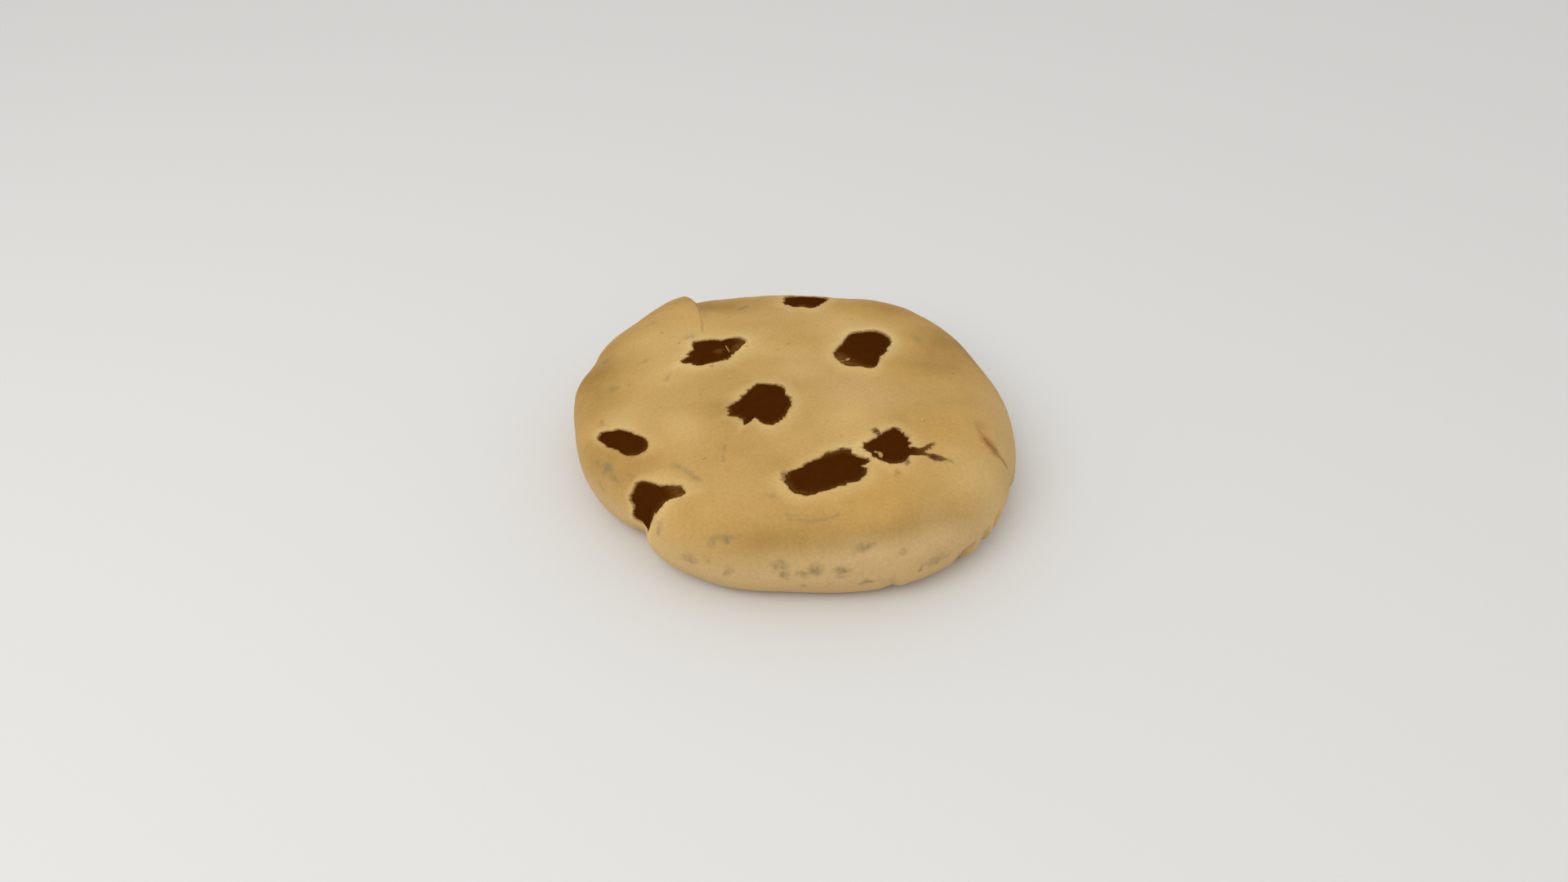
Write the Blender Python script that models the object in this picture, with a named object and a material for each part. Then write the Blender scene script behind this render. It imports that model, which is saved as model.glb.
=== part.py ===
"""A chocolate chip cookie: one domed disc of baked dough with chunks of chocolate pressed into it.

The cookie stands on the XY plane with +Z up, and its origin is the middle of its underside.
A bearing is an angle in degrees from +X, turning towards +Y. A run is a length measured over
the surface from the top of the dome outwards. Lengths are in millimetres until a mesh is made.
"""

import math
from collections import namedtuple

import bmesh
import bpy
import numpy as np
from mathutils import Matrix, Vector, noise

MM = 0.001

# ---- The disc of dough ----
THICKNESS = 16.0
WAIST_HEIGHT = 6.0
BASE_TUCK = 5.0
DOME_FULLNESS = 2.9
MEAN_REACH = 35.0
# How far the waist, the widest line of the side, reaches from the middle at each bearing.
OUTLINE = (
    (0, 35), (20, 34.5), (45, 37), (62, 37), (78, 35), (95, 35), (112, 36), (128, 37.8), (140, 36.9),
    (150, 37.2), (160, 35.9), (172, 35.9), (185, 34.5), (200, 33.9), (213, 32.8), (226, 32), (236, 33),
    (250, 34.6), (270, 34.5), (290, 36), (305, 37), (322, 37), (340, 36),
)
SECTION_STEPS = 160
NORMAL_STEP = 0.6
TINY = 1e-9
DOUGH_GRID = 59
# The grid's diagonals, where its squares are most askew, are turned away from the fold and the cleft.
GRID_TURN = 30.0

# ---- Relief of the dough: broad swellings and hollows as x, y, spread, rise ----
Swell = namedtuple("Swell", "x y spread rise")
SWELLS = (
    Swell(-23, 17, 9, 0.8),
    Swell(-12, 24, 4, -0.5),
    Swell(1, 16, 6, 0.4),
    Swell(13, 21, 5, -0.4),
    Swell(23, 9, 7, -0.7),
    Swell(29, -6, 6, 0.4),
    Swell(14, -7, 6, 0.5),
    Swell(5, -3, 4, -0.3),
    Swell(-6, 1, 5, -0.4),
    Swell(-15, -9, 5, 0.5),
    Swell(-8, -20, 6, 0.3),
    Swell(-17, -28, 5, 0.7),
    Swell(3, -31, 7, -0.3),
    Swell(24, -20, 6, 0.5),
    Swell(-30, -2, 6, -0.4),
)
LUMP_SIZE = 9.0
LUMP_RISE = 0.35
# The relief grows from nothing at the flat underside to its full height this far above it.
TUCK_FADE = 3.0

# ---- The fold beside the far left lobe. Its edge runs along x = FOLD_X - FOLD_BEND * (y - FOLD_END)^2
# and dies out at y = FOLD_END. The lobe on its -X side stands above its neighbour. Down the side of the
# disc, from FOLD_SIDE_RUN on, only FOLD_SIDE_SHARE of the rise is left ----
FOLD_X = -14.4
FOLD_BEND = 0.016
FOLD_END = 13.0
FOLD_FULL = 24.0
FOLD_RISE = 1.6
FOLD_EDGE = 1.2
FOLD_SIDE_RUN = 33.0
FOLD_SIDE_SHARE = 0.4
FOLD_REACH = 7.0

# ---- The cleft in the near left side, where two lobes of dough meet. It slants on its way down ----
CLEFT_BEARING = 236.0
CLEFT_SLANT = -1.0
CLEFT_DEPTH = 0.9
CLEFT_HALF_WIDTH = 3.2
CLEFT_TOP_RUN = 32.0
CLEFT_FULL_RUN = 36.0

# ---- Crags: nicks where flakes have broken from the near right side. Each is deepest at its bearing
# and runs out clockwise of it. roll turns it in the surface, in degrees ----
Crag = namedtuple("Crag", "bearing run depth length roll")
CRAGS = (
    Crag(338.5, 40.6, 0.5, 3.5, 8),
    Crag(325.5, 41.9, 0.7, 2.2, -12),
    Crag(321.3, 42.3, 0.9, 3.2, 10),
    Crag(314.6, 42.9, 1.0, 3.6, -6),
    Crag(294.5, 43.6, 0.5, 2.5, 14),
)
CRAG_TALL = 5.0
CRAG_THICK = 3.0

# ---- Chocolate chunks ----
# site is (bearing, run) of the chunk's middle. The outline is its reach at each bearing in its own
# plane. sink is how deep its widest line lies in the dough, crown how far it rises above that line,
# and keel how far it goes down below it.
Chunk = namedtuple("Chunk", "name site outline sink crown keel")
CHUNKS = (
    Chunk("chip_far", (84.0, 26.1), (
        (5, 3.7), (35, 4.7), (65, 4.6), (100, 4.2), (130, 4.9), (152, 4.2), (175, 3.7), (205, 4.2),
        (222, 3.8), (240, 4.1), (257, 3.5), (280, 4.1), (305, 3.5), (340, 3.2),
    ), 0.3, 0.7, 3.6),
    Chunk("chip_upper_right", (33.0, 13.7), (
        (0, 3.6), (20, 4.3), (42, 6.5), (60, 7.3), (75, 6.9), (92, 5.7), (108, 5.4), (130, 4.2),
        (152, 3.7), (180, 4.2), (205, 5.4), (222, 5.6), (240, 6.1), (262, 5.5), (281, 5.8), (300, 4.3),
        (322, 3.2), (342, 3.4),
    ), 0.3, 0.9, 3.8),
    Chunk("chip_upper_left", (150.9, 13.4), (
        (0, 3.5), (18, 4.6), (32, 5.9), (48, 5.5), (68, 3.7), (90, 3.5), (120, 3.8), (140, 4.4),
        (158, 3.6), (180, 3.6), (192, 4.2), (200, 4.2), (206, 5.6), (215, 5.7), (222, 4.9), (240, 4.7),
        (260, 3.5), (285, 2.8), (320, 2.9), (345, 3.0),
    ), 0.3, 0.9, 3.8),
    Chunk("chip_centre", (241.2, 9.4), (
        (0, 4.4), (38, 4.5), (55, 5.4), (76, 5.5), (98, 5.6), (118, 4.3), (150, 3.8), (179, 4.2),
        (187, 5.0), (210, 5.4), (217, 4.8), (234, 5.0), (241, 3.7), (250, 3.4), (264, 4.0), (285, 5.1),
        (310, 4.5), (340, 4.1),
    ), 0.3, 0.9, 3.8),
    Chunk("chip_right", (308.6, 20.9), (
        (0, 3.3), (40, 3.7), (68, 4.1), (90, 3.2), (108, 3.1), (120, 3.6), (133, 2.6), (150, 2.4),
        (172, 3.1), (198, 3.4), (225, 2.9), (240, 3.3), (275, 3.1), (305, 3.1), (335, 3.3),
    ), 0.3, 0.9, 3.6),
    Chunk("chip_front", (282.4, 23.0), (
        (0, 5.4), (13, 5.5), (21, 6.2), (29, 6.1), (38, 5.3), (60, 5.2), (80, 4.2), (100, 3.0),
        (125, 2.7), (155, 3.4), (178, 4.4), (186, 5.8), (196, 6.2), (215, 6.0), (235, 5.0), (262, 3.5),
        (290, 3.0), (320, 3.5), (345, 4.8),
    ), 0.3, 1.1, 3.8),
    Chunk("chip_left", (208.7, 30.1), (
        (0, 3.3), (15, 2.4), (60, 1.9), (100, 2.3), (128, 3.3), (150, 5.1), (172, 3.0), (200, 1.9),
        (235, 1.5), (268, 1.9), (300, 3.2), (328, 4.4), (348, 4.0),
    ), 0.3, 0.9, 3.0),
    Chunk("chip_cleft", (230.8, 34.8), (
        (0, 3.2), (6, 5.2), (16, 5.4), (30, 4.3), (52, 2.9), (80, 2.7), (108, 3.3), (130, 4.3),
        (150, 4.2), (168, 4.5), (182, 3.8), (190, 4.7), (215, 3.8), (235, 4.0), (249, 3.7), (257, 1.8),
        (285, 1.4), (325, 1.5), (350, 2.5),
    ), 0.3, 0.9, 3.0),
    Chunk("chip_back_left", (114.0, 38.5), (
        (0, 3.6), (40, 3.0), (80, 3.7), (130, 3.2), (170, 4.1), (215, 3.3), (260, 3.6), (310, 3.0),
    ), 0.3, 0.9, 3.0),
    Chunk("chip_back_right", (56.0, 39.5), (
        (10, 4.3), (50, 3.1), (95, 3.5), (150, 4.4), (190, 4.0), (235, 3.0), (280, 3.4), (330, 3.2),
    ), 0.3, 0.9, 3.0),
)
# Chunks that show in the flat underside, where they lie flush: site is x, y.
UNDER_CHUNKS = (
    Chunk("chip_under_1", (-12.0, 11.0), (
        (0, 4.2), (50, 3.3), (100, 4.6), (150, 3.9), (210, 3.1), (260, 4.0), (310, 3.4),
    ), 0.9, 0.6, 3.0),
    Chunk("chip_under_2", (14.0, 7.0), (
        (15, 3.4), (70, 4.1), (120, 3.0), (180, 3.8), (230, 4.5), (290, 3.2), (335, 3.9),
    ), 0.9, 0.6, 3.0),
    Chunk("chip_under_3", (1.0, -17.0), (
        (0, 5.0), (45, 3.4), (100, 3.0), (165, 4.6), (205, 4.1), (255, 2.9), (310, 3.5),
    ), 0.9, 0.6, 3.0),
)
CHUNK_SPOKES = 26
CHUNK_BANDS = 6
CHUNK_BOXINESS = 3.0
POCKET_GAP = 0.3
POCKET_MOUTH = 5.0
LIP_RISE = 0.3
LIP_WIDTH = 1.8
LIP_DEPTH = 4.0
SAG_SPAN = 5.0
SAG_STEPS = 9


def smooth_step(low, high, value):
    share = np.clip((np.asarray(value, float) - low) / (high - low), 0, 1)
    return share * share * (3 - 2 * share)


def reach_at(stations, bearing):
    """The reach at any bearing, on a smooth closed curve through the stations."""
    angles = np.array([s[0] for s in stations], float)
    reaches = np.array([s[1] for s in stations], float)
    span = np.diff(np.append(angles, angles[0] + 360))
    rise = np.diff(np.append(reaches, reaches[0])) / span
    before = np.roll(span, 1)
    slope = (np.roll(rise, 1) * span + rise * before) / (span + before)
    turned = (np.asarray(bearing, float) - angles[0]) % 360
    index = np.searchsorted(angles - angles[0], turned, side="right") - 1
    following = (index + 1) % len(angles)
    t = (turned - (angles - angles[0])[index]) / span[index]
    ease_in = t * (1 - t) ** 2 * span[index] * slope[index]
    ease_out = -t * t * (1 - t) * span[index] * slope[following]
    level = reaches[index] + (reaches[following] - reaches[index]) * t * t * (3 - 2 * t)
    return level + ease_in + ease_out


def cross_section():
    """The disc's half section as runs, shares of the reach, insets from it, and heights."""
    over = np.linspace(0, math.pi / 2, SECTION_STEPS)
    share = np.sin(over) ** (2 / DOME_FULLNESS)
    height = WAIST_HEIGHT + (THICKNESS - WAIST_HEIGHT) * np.cos(over) ** (2 / DOME_FULLNESS)
    under = np.linspace(0, math.pi / 2, SECTION_STEPS)[1:]
    share = np.append(share, np.ones(len(under)))
    height = np.append(height, WAIST_HEIGHT * (1 - np.sin(under)))
    inset = np.append(np.zeros(len(over)), BASE_TUCK * (1 - np.cos(under)))
    steps = np.hypot(np.diff(share * MEAN_REACH - inset), np.diff(height))
    return np.append(0, np.cumsum(steps)), share, inset, height


SECTION = cross_section()
FULL_RUN = SECTION[0][-1]
WAIST_RUN = float(np.interp(-WAIST_HEIGHT, -SECTION[3], SECTION[0]))


def plain_point(bearing, run):
    """A point of the disc before it has any relief, as an array of x, y, z."""
    runs, shares, insets, heights = SECTION
    distance = reach_at(OUTLINE, bearing) * np.interp(run, runs, shares) - np.interp(run, runs, insets)
    angle = np.radians(bearing)
    return np.stack([distance * np.cos(angle), distance * np.sin(angle), np.interp(run, runs, heights)], -1)


def plain_normal(bearing, run):
    """The outward direction there. Close to the top the two tangents shrink, so it is straight up."""
    outer = np.minimum(run + NORMAL_STEP, FULL_RUN)
    outwards = plain_point(bearing, outer) - plain_point(bearing, run - NORMAL_STEP)
    turn = np.degrees(NORMAL_STEP / np.maximum(run, NORMAL_STEP))
    around = plain_point(bearing + turn, run) - plain_point(bearing - turn, run)
    normal = np.cross(outwards, around)
    length = np.linalg.norm(normal, axis=-1, keepdims=True)
    upright = (run[:, None] < NORMAL_STEP) | (length < TINY)
    return np.where(upright, (0.0, 0.0, 1.0), normal / np.maximum(length, TINY))


def fold_rise(run, points):
    """The far left lobe's edge: a step along the fold, highest at the rim and dying out inwards."""
    x, y = points[:, 0], points[:, 1]
    left = FOLD_X - FOLD_BEND * (y - FOLD_END) ** 2 - x
    lobe = smooth_step(-FOLD_EDGE, FOLD_EDGE, left) * np.exp(-((np.maximum(left, 0) / FOLD_REACH) ** 2))
    side = 1 - (1 - FOLD_SIDE_SHARE) * smooth_step(FOLD_SIDE_RUN, WAIST_RUN, run)
    return FOLD_RISE * lobe * smooth_step(FOLD_END, FOLD_FULL, y) * side


def cleft_drop(bearing, run):
    """The crease that runs down the near left side between two lobes."""
    middle = CLEFT_BEARING + CLEFT_SLANT * (run - CLEFT_TOP_RUN)
    off = (bearing - middle + 180) % 360 - 180
    groove = np.exp(-((off / CLEFT_HALF_WIDTH) ** 2))
    return CLEFT_DEPTH * groove * smooth_step(CLEFT_TOP_RUN, CLEFT_FULL_RUN, run)


def broad_relief(bearing, run, points):
    """The lobes, swellings and hollows of the baked dough, as a height above the plain disc."""
    rise = fold_rise(run, points) - cleft_drop(bearing, run)
    for swell in SWELLS:
        apart = np.hypot(points[:, 0] - swell.x, points[:, 1] - swell.y)
        rise += swell.rise * np.exp(-((apart / swell.spread) ** 2))
    lumps = [noise.noise(Vector(p) / LUMP_SIZE) for p in points]
    return rise + LUMP_RISE * np.array(lumps)


def chunk_frame(chunk):
    """Where a chunk lies: its axes as the columns of a matrix, X along the row's X, and Z outwards."""
    if chunk in UNDER_CHUNKS:
        middle, outwards = Vector((*chunk.site, 0.0)), Vector((0, 0, -1))
    else:
        bearing, run = (np.array([value]) for value in chunk.site)
        point = plain_point(bearing, run)
        outwards = Vector(plain_normal(bearing, run)[0])
        middle = Vector(point[0]) + outwards * float(broad_relief(bearing, run, point)[0])
    along = (Vector((1, 0, 0)) - outwards * outwards.x).normalized()
    axes = Matrix((along, outwards.cross(along), outwards)).transposed().to_4x4()
    return Matrix.Translation(middle - outwards * chunk.sink) @ axes


def in_plane_of(chunk, points):
    """The points as seen from the chunk: x and y in its plane, and z outwards."""
    place = np.array(chunk_frame(chunk).inverted())
    return points @ place[:3, :3].T + place[:3, 3]


def sag_terms(x, y):
    return np.stack([np.ones_like(x), x, y, x * x, x * y, y * y], -1)


def chunk_sag(chunk):
    """How the dough curves away under a chunk, as the weights of a quadratic in the chunk's plane."""
    if chunk in UNDER_CHUNKS:
        return np.zeros(6)
    steps = np.linspace(-SAG_SPAN, SAG_SPAN, SAG_STEPS)
    aside, onward = (grid.ravel() for grid in np.meshgrid(steps, steps))
    bearing = chunk.site[0] + np.degrees(aside / chunk.site[1])
    run = chunk.site[1] + onward
    points = plain_point(bearing, run)
    points += plain_normal(bearing, run) * broad_relief(bearing, run, points)[:, None]
    x, y, z = in_plane_of(chunk, points).T
    return np.linalg.lstsq(sag_terms(x, y), z - chunk.sink, rcond=None)[0]


def lip_rise(points):
    """The dough stands a little higher close round each chunk."""
    rise = np.zeros(len(points))
    for chunk in CHUNKS:
        x, y, z = in_plane_of(chunk, points).T
        off = np.hypot(x, y) - reach_at(chunk.outline, np.degrees(np.arctan2(y, x)))
        close = np.exp(-((off / LIP_WIDTH) ** 2)) * (np.abs(z) < LIP_DEPTH)
        rise = np.maximum(rise, close)
    return LIP_RISE * rise


def relief(bearing, run, points):
    """How far the dough stands out from the plain disc. It dies out towards the flat underside."""
    rise = broad_relief(bearing, run, points) + lip_rise(points)
    return rise * smooth_step(0.0, TUCK_FADE, points[:, 2])


def dough_points(squares):
    """Points of the dough for places in a square from -1 to 1, whose edge becomes the base's edge."""
    u, v = squares[:, 0], squares[:, 1]
    ring = np.maximum(np.abs(u), np.abs(v))
    safe = np.maximum(ring, TINY)
    beside = np.abs(u) >= np.abs(v)
    flank = np.where(beside, v / safe * np.sign(u), -u / safe * np.sign(v))
    side = np.where(beside, np.where(u >= 0, 0, 180), np.where(v >= 0, 90, 270))
    bearing = (side + 45 * flank + GRID_TURN) % 360
    run = ring * FULL_RUN
    points = plain_point(bearing, run)
    return points + plain_normal(bearing, run) * relief(bearing, run, points)[:, None]


def new_material(name, colour, roughness):
    material = bpy.data.materials.new(name)
    material.use_nodes = True
    shader = material.node_tree.nodes["Principled BSDF"]
    shader.inputs["Base Color"].default_value = (*colour, 1.0)
    shader.inputs["Roughness"].default_value = roughness
    shader.inputs["Metallic"].default_value = 0.0
    return material


def new_object(name, builder, place=Matrix(), material=None):
    """An object from a bmesh in millimetres, turned into metres and set in its place."""
    bmesh.ops.scale(builder, vec=(MM, MM, MM), verts=builder.verts)
    bmesh.ops.recalc_face_normals(builder, faces=builder.faces)
    mesh = bpy.data.meshes.new(name)
    builder.to_mesh(mesh)
    builder.free()
    mesh.shade_smooth()
    made = bpy.data.objects.new(name, mesh)
    bpy.context.scene.collection.objects.link(made)
    made.matrix_world = Matrix.Translation(place.translation * MM) @ place.to_3x3().to_4x4()
    if material:
        mesh.materials.append(material)
    return made


def dough_disc(material):
    """A square grid wrapped over the dome and down the side, and closed by the flat underside."""
    builder = bmesh.new()
    bmesh.ops.create_grid(builder, x_segments=DOUGH_GRID, y_segments=DOUGH_GRID, size=1.0)
    squares = np.array([v.co[:2] for v in builder.verts])
    for vertex, place in zip(builder.verts, dough_points(squares)):
        vertex.co = place
    rim = [e for e in builder.edges if e.is_boundary]
    for vertex in {v for e in rim for v in e.verts}:
        vertex.co.z = 0.0
    bmesh.ops.holes_fill(builder, edges=rim, sides=0)
    return new_object("dough", builder, material=material)


def chunk_shape(chunk, grow=0.0, mouth=0.0):
    """A lozenge with a crowned top. grow makes it larger all round, and mouth opens it outwards."""
    builder = bmesh.new()
    bmesh.ops.create_uvsphere(builder, u_segments=CHUNK_SPOKES, v_segments=CHUNK_BANDS, radius=1.0)
    power = 2 / CHUNK_BOXINESS
    weights = chunk_sag(chunk)
    for vertex in builder.verts:
        belt = math.hypot(vertex.co.x, vertex.co.y)
        bearing = math.degrees(math.atan2(vertex.co.y, vertex.co.x))
        reach = (float(reach_at(chunk.outline, bearing)) + grow) * belt**power
        tall = (chunk.crown + mouth if vertex.co.z > 0 else chunk.keel) + grow
        height = math.copysign(tall * abs(vertex.co.z) ** power, vertex.co.z)
        turn = math.radians(bearing)
        x, y = reach * math.cos(turn), reach * math.sin(turn)
        vertex.co = (x, y, height + sag_terms(np.float64(x), np.float64(y)) @ weights)
    return builder


def crag_frame(crag):
    """Where a crag's cutter lies: X out of the dough, Y round it, and Z up its side."""
    bearing, run = np.array([crag.bearing]), np.array([crag.run])
    outwards = Vector(plain_normal(bearing, run)[0])
    around = Vector((-outwards.y, outwards.x, 0)).normalized()
    axes = Matrix((outwards, around, outwards.cross(around))).transposed().to_4x4()
    return Matrix.Translation(Vector(plain_point(bearing, run)[0])) @ axes


def crag_shape(crag):
    """A slab laid askew, so that it bites into the side at one end and runs out at the other."""
    builder = bmesh.new()
    bmesh.ops.create_cube(builder, size=1.0)
    bmesh.ops.scale(builder, vec=(CRAG_THICK, crag.length, CRAG_TALL), verts=builder.verts)
    corner = Vector((CRAG_THICK / 2 - crag.depth, -crag.length / 2, 0))
    bmesh.ops.translate(builder, vec=corner, verts=builder.verts)
    askew = Matrix.Rotation(math.atan2(crag.depth, crag.length), 4, "Z")
    roll = Matrix.Rotation(math.radians(crag.roll), 4, "X")
    bmesh.ops.transform(builder, matrix=roll @ askew, verts=builder.verts)
    return builder


def cut_away(solid, cutters):
    """Takes the cutters out of the solid, and keeps them as hidden wire helpers."""
    helpers = bpy.data.collections.new("cutters")
    bpy.context.scene.collection.children.link(helpers)
    for cutter in cutters:
        cutter.hide_render = True
        cutter.display_type = "WIRE"
        bpy.context.scene.collection.objects.unlink(cutter)
        helpers.objects.link(cutter)
    cut = solid.modifiers.new("pockets_and_crags", "BOOLEAN")
    cut.operation = "DIFFERENCE"
    cut.operand_type = "COLLECTION"
    cut.collection = helpers
    cut.solver = "EXACT"


def main():
    for old in list(bpy.data.objects):
        bpy.data.objects.remove(old, do_unlink=True)
    dough = new_material("dough", (0.56, 0.36, 0.14), 0.85)
    chocolate = new_material("chocolate", (0.060, 0.018, 0.004), 0.45)
    disc = dough_disc(dough)
    cutters = []
    for chunk in CHUNKS + UNDER_CHUNKS:
        place = chunk_frame(chunk)
        new_object(chunk.name, chunk_shape(chunk), place, chocolate)
        pocket = chunk_shape(chunk, grow=POCKET_GAP, mouth=POCKET_MOUTH)
        cutters.append(new_object("pocket_" + chunk.name, pocket, place))
    for number, crag in enumerate(CRAGS, 1):
        cutters.append(new_object(f"crag_{number}", crag_shape(crag), crag_frame(crag)))
    cut_away(disc, cutters)


main()
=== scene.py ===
"""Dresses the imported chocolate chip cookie: fine dough, ragged chunks, a melted smear, crumbs and a stage.

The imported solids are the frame. The form functions repeat those of the solids, so every fine piece lies
where its node does, and add what is too small for them. Lengths are in millimetres until a mesh is made.
A bearing is an angle in degrees from +X towards +Y, and a run is a length over the surface from the top
of the dome outwards.
"""

import math
import random
from collections import namedtuple

import bmesh
import bpy
import numpy as np
from mathutils import Matrix, Vector, noise
from mathutils.bvhtree import BVHTree


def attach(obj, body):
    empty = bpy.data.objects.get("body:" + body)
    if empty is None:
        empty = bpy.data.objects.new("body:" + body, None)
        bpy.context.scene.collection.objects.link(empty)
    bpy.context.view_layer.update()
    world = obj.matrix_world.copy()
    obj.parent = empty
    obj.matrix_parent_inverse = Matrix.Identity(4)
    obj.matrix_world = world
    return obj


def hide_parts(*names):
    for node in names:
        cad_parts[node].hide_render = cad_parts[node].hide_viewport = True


bl_info = {
    "name": "Chocolate chip cookie",
    "version": (1, 0, 0),
    "blender": (4, 5, 0),
    "location": "3D View > Sidebar > Cookie",
    "description": "Builds a baked cookie with chunks of dark chocolate around its packed solids",
    "category": "Add Mesh",
}

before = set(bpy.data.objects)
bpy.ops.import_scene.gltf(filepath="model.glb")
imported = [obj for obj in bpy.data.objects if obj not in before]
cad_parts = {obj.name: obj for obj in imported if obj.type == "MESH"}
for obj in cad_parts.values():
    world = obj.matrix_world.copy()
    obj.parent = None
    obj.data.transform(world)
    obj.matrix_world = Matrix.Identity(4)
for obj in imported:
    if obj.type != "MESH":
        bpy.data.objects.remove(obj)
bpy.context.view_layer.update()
MM = 0.001

# ---- The disc of dough, as in the solids ----
THICKNESS = 16.0
WAIST_HEIGHT = 6.0
BASE_TUCK = 5.0
DOME_FULLNESS = 2.9
MEAN_REACH = 35.0
OUTLINE = (
    (0, 35), (20, 34.5), (45, 37), (62, 37), (78, 35), (95, 35), (112, 36), (128, 37.8), (140, 36.9),
    (150, 37.2), (160, 35.9), (172, 35.9), (185, 34.5), (200, 33.9), (213, 32.8), (226, 32), (236, 33),
    (250, 34.6), (270, 34.5), (290, 36), (305, 37), (322, 37), (340, 36),
)
SECTION_STEPS = 160
NORMAL_STEP = 0.6
TINY = 1e-9
GRID_TURN = 30.0
TOP_GRID = 250
BASE_GRID = 72
# The grid is halved where a mark or the edge of a stain is stronger than this.
FINE_MARK = 0.04
# The underside's grid stops just inside the rim, and a strip of faces joins the two.
BASE_SHARE = 0.985

Swell = namedtuple("Swell", "x y spread rise")
SWELLS = tuple(Swell(*row) for row in (
    (-23, 17, 9, 0.8), (-12, 24, 4, -0.5), (1, 16, 6, 0.4), (13, 21, 5, -0.4), (23, 9, 7, -0.7),
    (29, -6, 6, 0.4), (14, -7, 6, 0.5), (5, -3, 4, -0.3), (-6, 1, 5, -0.4), (-15, -9, 5, 0.5),
    (-8, -20, 6, 0.3), (-17, -28, 5, 0.7), (3, -31, 7, -0.3), (24, -20, 6, 0.5), (-30, -2, 6, -0.4),
))
LUMP_SIZE = 9.0
LUMP_RISE = 0.35
TUCK_FADE = 3.0

# ---- The fold beside the far left lobe. The solids round its edge off over SOLID_FOLD_EDGE ----
FOLD_X = -14.4
FOLD_BEND = 0.016
FOLD_END = 13.0
FOLD_FULL = 24.0
FOLD_RISE = 1.6
SOLID_FOLD_EDGE = 1.2
FOLD_EDGE = 0.8
FOLD_SIDE_RUN = 33.0
FOLD_SIDE_SHARE = 0.4
FOLD_REACH = 7.0

# ---- The cleft in the near left side, with a narrow crease along its bottom ----
CLEFT_BEARING = 236.0
CLEFT_SLANT = -1.0
CLEFT_DEPTH = 0.9
CLEFT_HALF_WIDTH = 3.2
CLEFT_TOP_RUN = 32.0
CLEFT_FULL_RUN = 36.0
CREASE_DEPTH = 0.25
CREASE_HALF_WIDTH = 0.9

# ---- Crags: flakes on the near right side. Each ends at its bearing in a step inwards, slanted by roll in
# degrees, which goes down to the underside. Upwards it dies out over the distances in CRAG_FADE ----
Crag = namedtuple("Crag", "bearing run depth length roll")
CRAGS = (
    Crag(338.5, 40.6, 0.5, 3.5, 8),
    Crag(324.6, 41.9, 0.7, 2.2, -12),
    Crag(320.7, 42.3, 0.7, 3.2, 10),
    Crag(314.0, 42.9, 1.1, 3.6, -6),
    Crag(294.5, 43.6, 0.5, 2.5, 14),
)
CRAG_FADE = (1.6, 3.2)
CRAG_STEP = 0.15
CRAG_BASE_SHARES = (0.85, 1.0)
FLAKE_BULGE = 0.15
FLAKE_WIDTH = 1.0

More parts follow.
